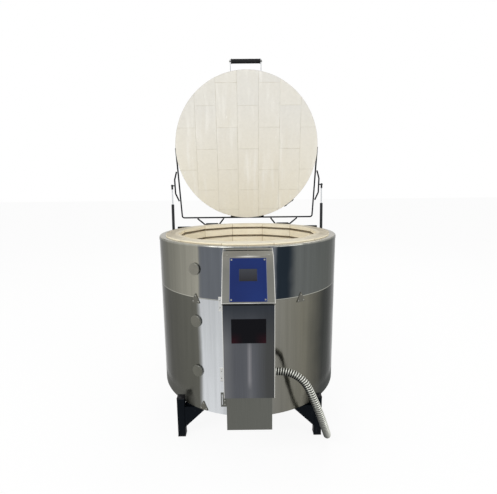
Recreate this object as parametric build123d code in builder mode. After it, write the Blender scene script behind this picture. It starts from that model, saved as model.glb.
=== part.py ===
from build123d import *
from math import asin, atan2, cos, degrees, hypot, pi, radians, sin, tan
import os

# Twelve-sided sectional front-controlled ceramic kiln, lid open at rest.
# Millimetres, +Z up, origin on the floor under the chamber's axis, front towards -Y.

# Driving sizes of the body
jacket_radius = 445.0
sheet = 1.0
leg_height = 152.0
floor_thickness = 63.5
ring_height = 228.6
ring_count = 3
sides = 12
chamber_corner_radius = 355.5
brick_outer_radius = 415.0
brick_joint = 0.8
seat_gap = 0.3
brick_stand_proud = 5.0
seam_below_joint = 5.7
seam_gap = 0.6
cap_skirt_depth = 16.0
cap_corner = 8.0
jacket_slot = 1.2

# Element grooves and elements
groove_depths = (23.0, 71.0)
groove_width = 13.0
groove_reach = 15.0
coil_radius = 5.0
coil_setback = 8.6
coil_bend = 12.0
tail_radius = 2.5
tail_spacing = 60.0
tail_slot = 8.0
insulator_radius = 6.0
insulator_clear = 0.4
thermocouple_radius = 6.0
thermocouple_reach = 25.0

# Peephole plugs and joining plates
plug_azimuth = -30.0
plug_rise = 5.0
plug_stem_radius = 12.0
plug_clear = 0.6
plug_head_radius = 26.0
plug_head = 8.0
plate_azimuth = 30.0
low_plate_azimuth = 27.0
plate_side = 46.0
plate_sheet = 1.5

# Stand
post_side = 35.0
post_wall = 3.0
post_offset_x = 311.0
post_offset_y = 354.0
post_rise = 36.0
foot_height = 6.0
upright_foot_rim = 8.0
cap_height = 8.0
gusset_reach = 106.0
gusset_drop = 101.0
gusset_sheet = 4.0
rail_flange = 28.0
rail_sheet = 4.0

# Control box
box_width = 196.0
box_sheet = 1.2
chassis_width = 178.0
chassis_back = 459.0
chassis_front = 570.0
chassis_bottom = 182.0
chassis_top = 868.0
wall_knee_height = 730.0
wall_top_out = 480.0
right_wall_out = 510.0
connector_tab_out = 545.0
connector_tab_height = 44.0
side_tab_height = 66.0
side_tab_centre = 241.0
side_tab_slot_width = 3.0
side_tab_slot_length = 48.0
side_tab_screws = (219.0, 235.0)
vent_spacing = 18.0
vent_width = 6.0
vent_length = 28.0
vent_count = 8
cover_front = 585.0
cover_bottom = 328.0
ridge_out = 603.0
ridge_height = 713.3
face_top_out = 512.0
face_top_height = 868.3
roof_back_out = 449.5
roof_back_height = 889.3
cover_back_out = 463.0
hinge_axis_x = -102.0
hinge_leaf_width = 19.0
hinge_knuckle_radius = 3.6
hinge_pin_radius = 1.5
running_fit = 0.06
knuckle_length = 16.0
knuckle_count = 3
knuckle_gap = 0.6
hinge_starts = (332.0, 640.0)
moving_leaf_length = 16.0

# Controller
panel_width = 139.0
panel_height = 167.0
panel_sheet = 1.5
window_width = 67.0
window_height = 48.0
window_rise = 17.0
label_width = 130.0
label_height = 95.0
label_centre = 600.0

# Lid
lid_radius = 443.0
lid_thickness = 76.0
lid_band_sheet = 1.0
lid_brick_width = 129.0
lid_brick_length = 253.0
lid_first_joint = 54.0
lid_stagger = 8.0
lid_brick_gap = 0.4
lid_lift = 0.3
open_angle = 83.3
hinge_y = 485.0
hinge_z = 887.0

# Lid frame of round rod
rod_radius = 4.75
frame_side = 448.1
frame_corner_x = 434.0
crossbar_reach = 36.0
crossbar_bend = 14.0
loop_x = 231.0
loop_inner_top = 74.0
loop_outer_top = 99.0
loop_half_pin = 46.0
barrel_radius = 10.0
barrel_length = 78.0
side_loop_low = 148.0
side_loop_high = 338.0
side_loop_out = 15.0
side_loop_slope = 50.0
strut_reach = 249.0
strut_x = 487.0

# Rear frame and struts
bar_side = 20.0
bar_y = 462.0
bar_z = 868.0
upright_x = 442.0
strut_pivot_drop = 150.0
tube_radius = 9.0
tube_wall = 1.5
tube_edge = 1.5
tube_end_wall = 12.0
tube_length = 270.0
tube_start = 14.0
strut_rod_radius = 4.0
strut_overlap = 60.0
socket_radius = 8.0
eye_radius = 9.0
eye_width = 10.0
pivot_pin_radius = 4.0

# Handle
grip_radius = 14.0
grip_length = 176.0
grip_ribs = 24
grip_rib_depth = 1.2
handle_reach = 978.0
handle_leg_x = 90.0
handle_leg_sheet = 2.5
handle_leg_width = 18.0
handle_foot = 38.0
handle_rod_radius = 4.0
handle_nut_radius = 6.0
handle_nut = 3.2

# Flexible conduit
conduit_radius = 16.5
conduit_bore_radius = 12.5
conduit_root_radius = 15.3
rib_pitch = 9.0
coil_loop_radius = 185.0
coil_turn = 254.0
conduit_x = 104.0
conduit_y = -520.0
conduit_z = 403.0
floor_clear = 0.3

# Worked-out sizes
pan_bottom = leg_height
slab_bottom = pan_bottom + sheet
ring_base = slab_bottom + floor_thickness
brick_top = ring_base + ring_count * ring_height
rim = brick_top - brick_stand_proud
seam = brick_top - ring_height - seam_below_joint
jacket_inner = jacket_radius - sheet
blanket_inner = brick_outer_radius + seat_gap
blanket_outer = jacket_inner - seat_gap
side_angle = 360 / sides
chamber_apothem = chamber_corner_radius * cos(radians(side_angle / 2))
coil_apothem = chamber_apothem + coil_setback
coil_corner_radius = coil_apothem / cos(radians(side_angle / 2))
groove_tops = groove_depths + tuple(ring_height - depth for depth in reversed(groove_depths))
terminal_depths = (sum(groove_tops[:2]) / 2, sum(groove_tops[2:]) / 2)
ring_tops = [ring_base + (k + 1) * ring_height for k in range(ring_count)]
ring_names = ("lower", "middle", "upper")
tail_x = tail_spacing / 2
tail_end = chassis_back + 27.0
terminal_heights = [top - depth for top in ring_tops for depth in terminal_depths]
terminal_places = [(x, z) for z in terminal_heights for x in (-tail_x, tail_x)]
probe_heights = [top - ring_height / 2 for top in ring_tops]
plug_heights = [height + plug_rise for height in probe_heights]
insulator_hole = insulator_radius + insulator_clear
probe_hole = thermocouple_radius + insulator_clear
plug_hole = plug_stem_radius + plug_clear
rear_pad_y = ridge_out - (bar_side + upright_foot_rim) / 2
underside = -(brick_top + lid_lift - hinge_z)
lid_outside = underside - lid_thickness
frame_level = underside - lid_thickness / 2

os.makedirs("parts", exist_ok=True)


def finish(piece, label):
    piece.part.label = label
    export_step(piece.part, f"parts/{label}.step")


def on_jacket(azimuth, height, radius):
    a = radians(azimuth)
    return Plane(
        origin=(radius * sin(a), -radius * cos(a), height),
        x_dir=(cos(a), sin(a), 0),
        z_dir=(sin(a), -cos(a), 0),
    )


def facing_front(x, y, z):
    return Plane(origin=(x, y, z), x_dir=(1, 0, 0), z_dir=(0, -1, 0))


def facing_right(x, y, z):
    return Plane(origin=(x, y, z), x_dir=(0, 1, 0), z_dir=(1, 0, 0))


low = (Align.CENTER, Align.CENTER, Align.MIN)
lid_turn = radians(open_angle)
lid_plane = Plane(
    origin=(0, hinge_y, hinge_z),
    x_dir=(1, 0, 0),
    z_dir=(0, -sin(lid_turn), -cos(lid_turn)),
)


def lid_level(height):
    return lid_plane.offset(height)


def lid_point(x, reach, level):
    return lid_plane.from_local_coords((x, reach, level))


def screw(head_radius, head_height):
    with BuildPart() as head:
        Cylinder(head_radius, head_height * 0.5, align=low)
        with Locations((0, 0, head_height * 0.5)):
            Cone(head_radius, head_radius * 0.6, head_height * 0.5, align=low)
        with Locations((0, 0, head_height * 0.6)):
            Box(head_radius * 1.1, head_radius * 0.25, head_height, align=low, mode=Mode.SUBTRACT)
            Box(head_radius * 0.25, head_radius * 1.1, head_height, align=low, mode=Mode.SUBTRACT)
    return head.part


def screw_group(groups):
    with BuildPart() as heads:
        for planes, head_radius, head_height in groups:
            with Locations(*planes):
                add(screw(head_radius, head_height))
    return heads


# Floor pan and floor bricks
with BuildPart(Plane.XY.offset(pan_bottom)) as bottom_pan:
    Cylinder(jacket_inner - seat_gap, sheet, align=low)
finish(bottom_pan, "bottom_pan")


def brick_columns(radius, width, length, gap, first_joint, stagger):
    columns = int(radius / width) + 2
    rows = int(radius / length) + 2
    spots = []
    for i in range(-columns, columns):
        shift = stagger + length / 2 if i % 2 else stagger
        for j in range(-rows, rows):
            x = first_joint + (i + 0.5) * width
            y = -shift + (j + 0.5) * length
            near_x = max(abs(x) - width / 2, 0)
            near_y = max(abs(y) - length / 2, 0)
            if hypot(near_x, near_y) < radius - 2:
                spots.append((x, y))
    return spots


floor_radius = jacket_inner - 2 * seat_gap
with BuildPart() as floor_slab:
    with BuildSketch(Plane.XY.offset(slab_bottom)):
        spots = brick_columns(floor_radius, lid_brick_width, lid_brick_length, lid_brick_gap, 0, 0)
        with Locations(*spots):
            Rectangle(lid_brick_width - lid_brick_gap, lid_brick_length - lid_brick_gap)
        Circle(floor_radius, mode=Mode.INTERSECT)
    extrude(amount=floor_thickness)
finish(floor_slab, "floor_slab")

# One wall brick: flat inside, round outside, with its element grooves
half_side = radians(side_angle / 2)
joint_half_inner = chamber_corner_radius * sin(half_side) - brick_joint / 2
outer_angle = half_side - brick_joint / 2 / brick_outer_radius
outer_x = brick_outer_radius * sin(outer_angle)
outer_y = -brick_outer_radius * cos(outer_angle)
groove_centre = chamber_apothem + groove_reach - groove_width / 2

with BuildPart() as wall_brick:
    with BuildSketch():
        with BuildLine():
            Polyline((outer_x, outer_y), (joint_half_inner, -chamber_apothem),
                     (-joint_half_inner, -chamber_apothem), (-outer_x, outer_y))
            ThreePointArc((-outer_x, outer_y), (0, -brick_outer_radius), (outer_x, outer_y))
        make_face()
    extrude(amount=ring_height - brick_joint / 2)
    for depth in groove_tops:
        with BuildSketch(Plane.YZ.offset(-chamber_corner_radius)):
            with Locations((-groove_centre, ring_height - depth)):
                Circle(groove_width / 2)
            with Locations((-(groove_centre + chamber_apothem - 4) / 2, ring_height - depth)):
                Rectangle(groove_centre - chamber_apothem + 4, groove_width)
        extrude(amount=2 * chamber_corner_radius, mode=Mode.SUBTRACT)

slot_depth = groove_reach
slot_centre = chamber_apothem + slot_depth / 2 - 1
with BuildPart() as front_brick:
    add(wall_brick.part)
    for upper, lower in (groove_tops[:2], groove_tops[2:]):
        middle = (upper + lower) / 2
        reach = (lower - upper) / 2
        slope = degrees(atan2(lower - upper, tail_spacing))
        with Locations((0, -slot_centre, ring_height - middle)):
            with Locations(Rotation(0, -slope, 0)):
                Box(hypot(tail_spacing, lower - upper), slot_depth + 2, groove_width, mode=Mode.SUBTRACT)
        with Locations((-tail_x, -slot_centre, ring_height - upper - reach / 2),
                       (tail_x, -slot_centre, ring_height - lower + reach / 2)):
            Box(tail_slot, slot_depth + 2, reach + tail_slot, mode=Mode.SUBTRACT)
        with Locations(*[facing_front(x, -chamber_apothem + 1, ring_height - middle)
                         for x in (-tail_x, tail_x)]):
            Cylinder(insulator_hole, brick_outer_radius, align=low, mode=Mode.SUBTRACT)
    with Locations(facing_front(0, -chamber_apothem + 1, ring_height / 2)):
        Cylinder(probe_hole, brick_outer_radius, align=low, mode=Mode.SUBTRACT)

peep_turn = plug_azimuth
with BuildPart() as peep_brick:
    add(wall_brick.part)
    with Locations(facing_front(0, -chamber_apothem + 1, ring_height / 2 + plug_rise)):
        Cylinder(plug_hole, brick_outer_radius, align=low, mode=Mode.SUBTRACT)

with BuildPart() as wall_bricks:
    for top in ring_tops:
        with Locations((0, 0, top - ring_height)):
            add(front_brick.part)
            add(peep_brick.part, rotation=(0, 0, peep_turn))
            for k in range(1, sides):
                turn = k * side_angle
                if abs(turn - 360 - peep_turn) > 1:
                    add(wall_brick.part, rotation=(0, 0, turn))
finish(wall_bricks, "wall_bricks")

# Fibre blanket, jackets, rim cap
blanket_top = rim - cap_corner - sheet
jacket_top = rim - cap_corner - sheet
cut_back = 30.0
cut_length = 60.0


def wall_holes(bottom, top, inner, plug_cut, insulator_cut, probe_cut):
    for x, z in terminal_places:
        if bottom < z < top:
            with Locations(facing_front(x, -inner + cut_back, z)):
                Cylinder(insulator_cut, cut_length, align=low, mode=Mode.SUBTRACT)
    for z in probe_heights:
        if bottom < z < top:
            with Locations(facing_front(0, -inner + cut_back, z)):
                Cylinder(probe_cut, cut_length, align=low, mode=Mode.SUBTRACT)
    for z in plug_heights:
        if bottom < z < top:
            with Locations(on_jacket(plug_azimuth, z, inner - cut_back)):
                Cylinder(plug_cut, cut_length, align=low, mode=Mode.SUBTRACT)


shells = (
    ("insulation_blanket", ring_base, blanket_top, blanket_inner, blanket_outer),
    ("jacket_lower", pan_bottom, seam - seam_gap, jacket_inner, jacket_radius),
    ("jacket_upper", seam, jacket_top, jacket_inner, jacket_radius),
)
for label, bottom, top, inner, outer in shells:
    with BuildPart() as shell:
        with BuildSketch(Plane.XY.offset(bottom)):
            Circle(outer)
            Circle(inner, mode=Mode.SUBTRACT)
            if label.startswith("jacket"):
                with Locations((0, -outer)):
                    Rectangle(jacket_slot, 4 * sheet, mode=Mode.SUBTRACT)
        extrude(amount=top - bottom)
        wall_holes(bottom, top, inner, plug_hole + 1, insulator_hole + 0.5, probe_hole + 0.5)
    finish(shell, label)

skirt_inner = jacket_radius + seat_gap
skirt_outer = skirt_inner + sheet
corner_x = skirt_outer - cap_corner
corner_z = rim - cap_corner
corner_in = cap_corner - sheet
half = cos(pi / 4)
with BuildPart() as rim_cap:
    with BuildSketch(Plane.XZ):
        with BuildLine():
            Polyline((corner_x, rim - sheet), (blanket_inner, rim - sheet),
                     (blanket_inner, rim), (corner_x, rim))
            ThreePointArc((corner_x, rim), (corner_x + cap_corner * half, corner_z + cap_corner * half),
                          (skirt_outer, corner_z))
            Polyline((skirt_outer, corner_z), (skirt_outer, rim - cap_skirt_depth),
                     (skirt_inner, rim - cap_skirt_depth), (skirt_inner, corner_z))
            ThreePointArc((skirt_inner, corner_z), (corner_x + corner_in * half, corner_z + corner_in * half),
                          (corner_x, rim - sheet))
        make_face()
    revolve(axis=Axis.Z)
    with Locations((0, -jacket_radius + 10, rim)):
        Box(jacket_slot, 60, 3 * cap_skirt_depth, mode=Mode.SUBTRACT)
finish(rim_cap, "rim_cap")

# Joining plates at the seam and at the bottom edge
plate_radius = jacket_radius + seat_gap
low_plate_height = pan_bottom + plate_side / 2 + 2
plate_azimuths = (plate_azimuth, 180 - plate_azimuth)
plate_places = [(side * azimuth, seam) for side in (-1, 1) for azimuth in plate_azimuths]
plate_places += [(-low_plate_azimuth, low_plate_height)]
plate_places += [(side * (180 - plate_azimuth), low_plate_height) for side in (-1, 1)]
plate_inset = 7.0
with BuildPart() as joining_plates:
    for azimuth, height in plate_places:
        with BuildSketch(on_jacket(azimuth, height, plate_radius)):
            with BuildLine():
                Polyline((-plate_side / 2, -plate_side / 2), (plate_side / 2, -plate_side / 2),
                         (0, plate_side / 2), close=True)
            make_face()
            fillet(vertices(), 3)
        extrude(amount=plate_sheet)
finish(joining_plates, "joining_plates")
screw_x = plate_side / 2 - 1.3 * plate_inset
screw_low = -plate_side / 2 + plate_inset
plate_screw_spots = [(0, plate_side / 2 - 2 * plate_inset), (-screw_x, screw_low), (screw_x, screw_low)]
plate_planes = []
for azimuth, height in plate_places:
    base = on_jacket(azimuth, height, plate_radius + plate_sheet)
    for x, y in plate_screw_spots:
        spot = base.from_local_coords((x, y, 0))
        plate_planes.append(Plane(origin=spot, x_dir=base.x_dir, z_dir=base.z_dir))

# Heating elements, two double rows in each ring
corner_points = []
for k in range(sides):
    a = radians(-(k + 0.5) * side_angle)
    corner_points.append((coil_corner_radius * sin(a), -coil_corner_radius * cos(a)))

with BuildPart() as elements:
    for top in ring_tops:
        for upper, lower in (groove_tops[:2], groove_tops[2:]):
            high = top - upper
            deep = top - lower
            route = [(-tail_x, -coil_apothem, high)]
            route += [(x, y, high) for x, y in corner_points]
            route += [(tail_x, -coil_apothem, high), (-tail_x, -coil_apothem, deep)]
            route += [(x, y, deep) for x, y in corner_points]
            route += [(tail_x, -coil_apothem, deep)]
            with BuildLine() as coil_path:
                FilletPolyline(*route, radius=coil_bend)
            with BuildSketch(Plane(origin=route[0], z_dir=(-1, 0, 0))):
                Circle(coil_radius)
            sweep(path=coil_path.line)
finish(elements, "heating_elements")
print("element volume", round(elements.part.volume), "section times length",
      round(2 * ring_count * coil_path.wire().length * pi * coil_radius ** 2))

tail_bend = 5.0
with BuildPart() as tails:
    for top in ring_tops:
        for upper, lower in (groove_tops[:2], groove_tops[2:]):
            middle = top - (upper + lower) / 2
            half_row = (lower - upper) / 2 - coil_radius - seat_gap
            for x, way in ((-tail_x, 1), (tail_x, -1)):
                route = [(x, -coil_apothem, middle + way * half_row), (x, -coil_apothem, middle),
                         (x, -tail_end, middle)]
                with BuildLine() as tail_path:
                    FilletPolyline(*route, radius=tail_bend)
                with BuildSketch(Plane(origin=route[0], z_dir=(0, 0, -way))):
                    Circle(tail_radius)
                sweep(path=tail_path.line)
finish(tails, "element_tails")

insulator_start = chamber_apothem + groove_reach + 1
insulator_end = chassis_back + 7
with BuildPart() as terminal_insulators:
    with Locations(*[facing_front(x, -insulator_start, z) for x, z in terminal_places]):
        Cylinder(insulator_radius, insulator_end - insulator_start, align=low)
        Cylinder(tail_radius + seat_gap, insulator_end - insulator_start, align=low, mode=Mode.SUBTRACT)
finish(terminal_insulators, "terminal_insulators")

connector_length = tail_end - insulator_end - 2
with BuildPart() as terminal_connectors:
    with Locations(*[facing_front(x, -insulator_end - seat_gap, z) for x, z in terminal_places]):
        Cylinder(5.5, connector_length, align=low)
        Cylinder(tail_radius + 0.1, connector_length, align=low, mode=Mode.SUBTRACT)
    with Locations(*[facing_right(x + 5.3, -insulator_end - connector_length / 2, z)
                     for x, z in terminal_places]):
        Cylinder(2.4, 4, align=low)
finish(terminal_connectors, "terminal_connectors")

# Thermocouples at the middle of each ring
probe_start = chamber_apothem - thermocouple_reach
probe_block = (34.0, 24.0, 16.0)
with BuildPart() as thermocouples:
    with Locations(*[facing_front(0, -probe_start, z) for z in probe_heights]):
        Cylinder(thermocouple_radius, chassis_back + 2 - probe_start, align=low)
    with Locations(*[facing_front(0, -chassis_back - seat_gap, z) for z in probe_heights]):
        Box(*probe_block, align=low)
    with Locations(*[facing_front(x, -chassis_back - probe_block[2], z)
                     for z in probe_heights for x in (-9, 9)]):
        Cylinder(3, 2.5, align=low)
finish(thermocouples, "thermocouples")

# Peephole plugs
plug_inner = chamber_apothem + 6
for name, height in zip(ring_names, plug_heights):
    with BuildPart() as plug:
        with Locations(on_jacket(plug_azimuth, height, plug_inner)):
            Cylinder(plug_stem_radius, jacket_radius + seat_gap - plug_inner, align=low)
        with Locations(on_jacket(plug_azimuth, height, jacket_radius + seat_gap)):
            Cylinder(plug_head_radius, plug_head, align=low)
        fillet(plug.edges().filter_by(GeomType.CIRCLE).sort_by(SortBy.RADIUS)[-2:], 1.5)
    finish(plug, f"peephole_plug_{name}")

# Stand: posts, feet, caps, gussets and the angle rails under the pan
corners = [(sx, sy) for sx in (-1, 1) for sy in (-1, 1)]
post_places = [(sx * post_offset_x, sy * post_offset_y) for sx, sy in corners]
post_top = pan_bottom + post_rise
with BuildPart() as posts:
    with BuildSketch(Plane.XY.offset(foot_height)):
        with Locations(*post_places):
            RectangleRounded(post_side, post_side, 4)
            Rectangle(post_side - 2 * post_wall, post_side - 2 * post_wall, mode=Mode.SUBTRACT)
    extrude(amount=post_top - foot_height)
finish(posts, "stand_posts")

with BuildPart() as feet:
    with Locations(*[(x, y, 0) for x, y in post_places]):
        Box(post_side, post_side, foot_height, align=low)
    with Locations(*[(side * upright_x, y, 0) for side in (-1, 1) for y in (bar_y, rear_pad_y)]):
        Box(bar_side + upright_foot_rim, bar_side + upright_foot_rim, foot_height, align=low)
    chamfer(feet.faces().filter_by(Axis.Z).group_by(Axis.Z)[0].edges(), 1.5)
finish(feet, "stand_feet")

with BuildPart() as caps:
    with Locations(*[(x, y, post_top) for x, y in post_places]):
        Box(post_side, post_side, cap_height * 0.4, align=low)
    with Locations(*[(x, y, post_top + cap_height * 0.4) for x, y in post_places]):
        Cone(post_side * 0.46, post_side * 0.25, cap_height * 0.6, align=low)
finish(caps, "stand_caps")

rail_half_x = post_offset_x - post_side / 2
rail_half_y = post_offset_y - post_side / 2
rail_long_x = 2 * (rail_half_x - seat_gap)
rail_long_y = 2 * rail_half_y
gusset_top = pan_bottom - 2
gusset_front = post_offset_y + post_side / 2
with BuildPart() as rails:
    for sx, sy in corners:
        level = sy * (gusset_front - gusset_sheet / 2)
        with BuildSketch(Plane.XZ.offset(-level)):
            with BuildLine():
                Polyline((sx * rail_half_x, gusset_top), (sx * (rail_half_x - gusset_reach), gusset_top),
                         (sx * rail_half_x, gusset_top - gusset_drop), close=True)
            make_face()
        extrude(amount=gusset_sheet / 2, both=True)

    for sy in (-1, 1):
        with Locations((0, sy * (post_offset_y - rail_sheet / 2), pan_bottom - rail_flange)):
            Box(rail_long_x, rail_sheet, rail_flange, align=low)
        with Locations((0, sy * (post_offset_y - rail_flange / 2), pan_bottom - rail_sheet)):
            Box(rail_long_x, rail_flange, rail_sheet, align=low)
    for sx in (-1, 1):
        with Locations((sx * (post_offset_x - rail_sheet / 2), 0, pan_bottom - rail_flange)):
            Box(rail_sheet, rail_long_y - 2 * seat_gap, rail_flange, align=low)
        with Locations((sx * (post_offset_x - rail_flange / 2), 0, pan_bottom - rail_sheet)):
            Box(rail_flange, rail_long_y - 2 * seat_gap - 2 * post_side, rail_sheet, align=low)
finish(rails, "stand_rails_and_gussets")

# Chassis of the control box, fixed to the jacket
chassis_half = chassis_width / 2
flange_left = hinge_axis_x - hinge_leaf_width
flange_width = -flange_left - chassis_half
flange_middle = (flange_left - chassis_half) / 2
plate_back = -chassis_back + box_sheet
hinge_length = knuckle_count * knuckle_length
hinge_middles = [start + hinge_length / 2 for start in hinge_starts]
hinge_rim = 6.0
lower_panel_top = cover_bottom - 1.0
tab_low = conduit_z - connector_tab_height / 2
tab_high = conduit_z + connector_tab_height / 2
left_wall = [
    (plate_back, chassis_bottom),
    (-chassis_front, chassis_bottom),
    (-chassis_front, wall_knee_height),
    (-wall_top_out, chassis_top),
    (plate_back, chassis_top),
]
right_wall = [
    (plate_back, chassis_bottom),
    (-chassis_front, chassis_bottom),
    (-chassis_front, lower_panel_top),
    (-right_wall_out, lower_panel_top),
    (-right_wall_out, tab_low),
    (-connector_tab_out, tab_low),
    (-connector_tab_out, tab_high),
    (-right_wall_out, tab_high),
    (-right_wall_out, wall_knee_height),
    (-wall_top_out, chassis_top),
    (plate_back, chassis_top),
]
with BuildPart() as chassis:
    with BuildSketch(Plane.XZ.offset(-plate_back)):
        with Locations((0, (chassis_bottom + chassis_top) / 2)):
            Rectangle(chassis_width, chassis_top - chassis_bottom)
        with Locations(*[(flange_middle, z) for z in hinge_middles]):
            Rectangle(flange_width, hinge_length + 2 * hinge_rim)
        with Locations((flange_middle, side_tab_centre)):
            Rectangle(flange_width, side_tab_height)
        with Locations((flange_left + 2 * side_tab_slot_width, side_tab_centre)):
            Rectangle(side_tab_slot_width, side_tab_slot_length, mode=Mode.SUBTRACT)
        with Locations(*terminal_places):
            Circle(insulator_hole, mode=Mode.SUBTRACT)
        with Locations(*[(0, z) for z in probe_heights]):
            Circle(probe_hole, mode=Mode.SUBTRACT)
    extrude(amount=box_sheet)
    for sx, wall in ((-1, left_wall), (1, right_wall)):
        with BuildSketch(Plane.YZ.offset(sx * (chassis_half - box_sheet / 2))):
            with BuildLine():
                Polyline(*wall, close=True)
            make_face()
        extrude(amount=box_sheet / 2, both=True)
    with Locations((0, (plate_back - chassis_front) / 2, chassis_bottom)):
        Box(chassis_width, chassis_front + plate_back, box_sheet, align=low)
        with GridLocations(vent_spacing, 1.4 * vent_length, vent_count, 2):
            Box(vent_width, vent_length, 4 * box_sheet, mode=Mode.SUBTRACT)
    with Locations(facing_right(chassis_half - 4, conduit_y, conduit_z)):
        Cylinder(conduit_bore_radius + 2.5, 8, align=low, mode=Mode.SUBTRACT)
finish(chassis, "box_chassis")

with BuildPart() as lower_panel:
    with Locations((0, -chassis_front - box_sheet / 2, chassis_bottom)):
        Box(chassis_width, box_sheet, lower_panel_top - chassis_bottom, align=low)
finish(lower_panel, "box_lower_panel")

standoff_x = 60.0
standoff_radius = 6.0
standoff_places = [(x, z) for x in (-standoff_x, standoff_x) for z in (230, 360, 700, 840)]
standoff_back = jacket_radius * cos(asin((standoff_x - standoff_radius) / jacket_radius)) + seat_gap
with BuildPart() as standoffs:
    with Locations(*[facing_front(x, -standoff_back, z) for x, z in standoff_places]):
        Cylinder(standoff_radius, -plate_back - standoff_back, align=low)
finish(standoffs, "box_standoffs")
mount_screw_planes = [facing_front(x, -chassis_back, z) for x, z in standoff_places]

# Hinged cover with its sloped controller face
cover_half = box_width / 2
face_rise = face_top_height - ridge_height
face_run = ridge_out - face_top_out
face_length = hypot(face_rise, face_run)
face_middle = (0, -(face_top_out + ridge_out) / 2, (face_top_height + ridge_height) / 2)
face_plane = Plane(origin=face_middle, x_dir=(1, 0, 0),
                   z_dir=(0, -face_rise / face_length, face_run / face_length))
cover_outline = [
    (-roof_back_out, roof_back_height),
    (-face_top_out, face_top_height),
    (-ridge_out, ridge_height),
    (-cover_front, ridge_height - 14),
    (-cover_front, cover_bottom),
    (-cover_back_out, cover_bottom),
    (-cover_back_out, chassis_top),
    (-roof_back_out, chassis_top + 8),
]
notch = conduit_radius + 7.5
with BuildPart() as cover:
    with BuildSketch(Plane.YZ.offset(-cover_half)):
        with BuildLine():
            Polyline(*cover_outline, close=True)
        make_face()
        with BuildSketch(mode=Mode.SUBTRACT):
            with BuildLine():
                Polyline(*cover_outline, close=True)
            make_face()
            offset(amount=-box_sheet, kind=Kind.INTERSECTION)
        with Locations(((-cover_back_out - cover_front) / 2 + box_sheet, cover_bottom)):
            Rectangle(cover_front - cover_back_out, 4 * box_sheet, mode=Mode.SUBTRACT)
        with Locations((-cover_back_out, (cover_bottom + chassis_top) / 2)):
            Rectangle(3 * box_sheet, chassis_top - cover_bottom + 2 * box_sheet, mode=Mode.SUBTRACT)
        with Locations((-cover_back_out + 8, chassis_top + 7)):
            Rectangle(28, 20, mode=Mode.SUBTRACT)
    extrude(amount=box_width)
    for sx in (-1, 1):
        with BuildSketch(Plane.YZ.offset(sx * (cover_half - box_sheet / 2))):
            with BuildLine():
                Polyline(*cover_outline, close=True)
            make_face()
            if sx > 0:
                with Locations(((conduit_y - cover_back_out) / 2 + 2, conduit_z)):
                    Rectangle(-conduit_y - cover_back_out + 4, 2 * notch, mode=Mode.SUBTRACT)
                with Locations((conduit_y, conduit_z)):
                    Circle(notch, mode=Mode.SUBTRACT)
        extrude(amount=box_sheet / 2, both=True)
    with Locations(face_plane.offset(-2 * box_sheet)):
        with Locations((0, window_rise, 0)):
            Box(window_width - 6, window_height - 6, 8, align=low, mode=Mode.SUBTRACT)
finish(cover, "box_cover")

roof_middle = (0, -(roof_back_out + face_top_out) / 2, (roof_back_height + face_top_height) / 2)
roof_up = (0, face_top_height - roof_back_height, face_top_out - roof_back_out)
roof_slope = Plane(origin=roof_middle, x_dir=(1, 0, 0), z_dir=roof_up)
roof_screw_planes = []
for x in (-80, 0, 80):
    roof_spot = roof_slope.from_local_coords((x, -22, 0))
    roof_screw_planes.append(Plane(origin=roof_spot, x_dir=(1, 0, 0), z_dir=roof_slope.z_dir))

# Two hinges of the cover: fixed leaf and knuckles, moving leaf and knuckles, pin
hinge_y_line = -cover_back_out
leaf_offset = -cover_half - box_sheet / 2


def knuckle_spots(first, x, y, rise):
    return [(x, y, start + k * knuckle_length + rise)
            for start in hinge_starts for k in range(first, knuckle_count, 2)]


def knuckles(first):
    with Locations(*knuckle_spots(first, hinge_axis_x, hinge_y_line, knuckle_gap / 2)):
        Cylinder(hinge_knuckle_radius, knuckle_length - knuckle_gap, align=low)


def bore_knuckles():
    with Locations(*[(hinge_axis_x, hinge_y_line, z) for z in hinge_middles]):
        Cylinder(hinge_pin_radius + running_fit, hinge_length + 2, mode=Mode.SUBTRACT)


def cut_leaf(first, x, y, width, depth):
    with Locations(*knuckle_spots(first, x, y, -knuckle_gap / 2)):
        Box(width, depth, knuckle_length + knuckle_gap, align=low, mode=Mode.SUBTRACT)


leaf_cut = 10.0
leaf_cut_depth = 4.0
fixed_leaf_y = -chassis_back - box_sheet / 2
with BuildPart() as hinge_fixed:
    with Locations(*[((flange_left + hinge_axis_x) / 2, fixed_leaf_y, z) for z in hinge_middles]):
        Box(hinge_leaf_width, box_sheet, hinge_length)
    cut_leaf(1, hinge_axis_x, fixed_leaf_y, leaf_cut, leaf_cut_depth)
    knuckles(0)
    bore_knuckles()

with BuildPart() as hinge_moving:
    with Locations(*[(leaf_offset, hinge_y_line - moving_leaf_length / 2, z) for z in hinge_middles]):
        Box(box_sheet, moving_leaf_length, hinge_length)
    cut_leaf(0, leaf_offset, hinge_y_line, leaf_cut_depth, leaf_cut)
    knuckles(1)
    bore_knuckles()
finish(hinge_moving, "cover_hinge_moving_leaf")

pin_stand = 1.5
with BuildPart() as hinge_pins:
    with Locations(*[(hinge_axis_x, hinge_y_line, z) for z in hinge_middles]):
        Cylinder(hinge_pin_radius, hinge_length + 2 * pin_stand)
    head_rise = (hinge_length + pin_stand) / 2
    with Locations(*[(hinge_axis_x, hinge_y_line, z + head_rise) for z in hinge_middles]):
        Cylinder(hinge_pin_radius + 1.1, 2, align=low)
with BuildPart() as hinge_fixed_side:
    add(hinge_fixed.part)
    add(hinge_pins.part)
finish(hinge_fixed_side, "cover_hinge_fixed_leaf_and_pin")
leaf_screws = [facing_front(flange_left + 6, fixed_leaf_y - box_sheet / 2, z + rise * knuckle_length)
               for z in hinge_middles for rise in (-1, 1)]
tab_screws = [facing_front(hinge_axis_x - 1, -chassis_back, z) for z in side_tab_screws]

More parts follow.
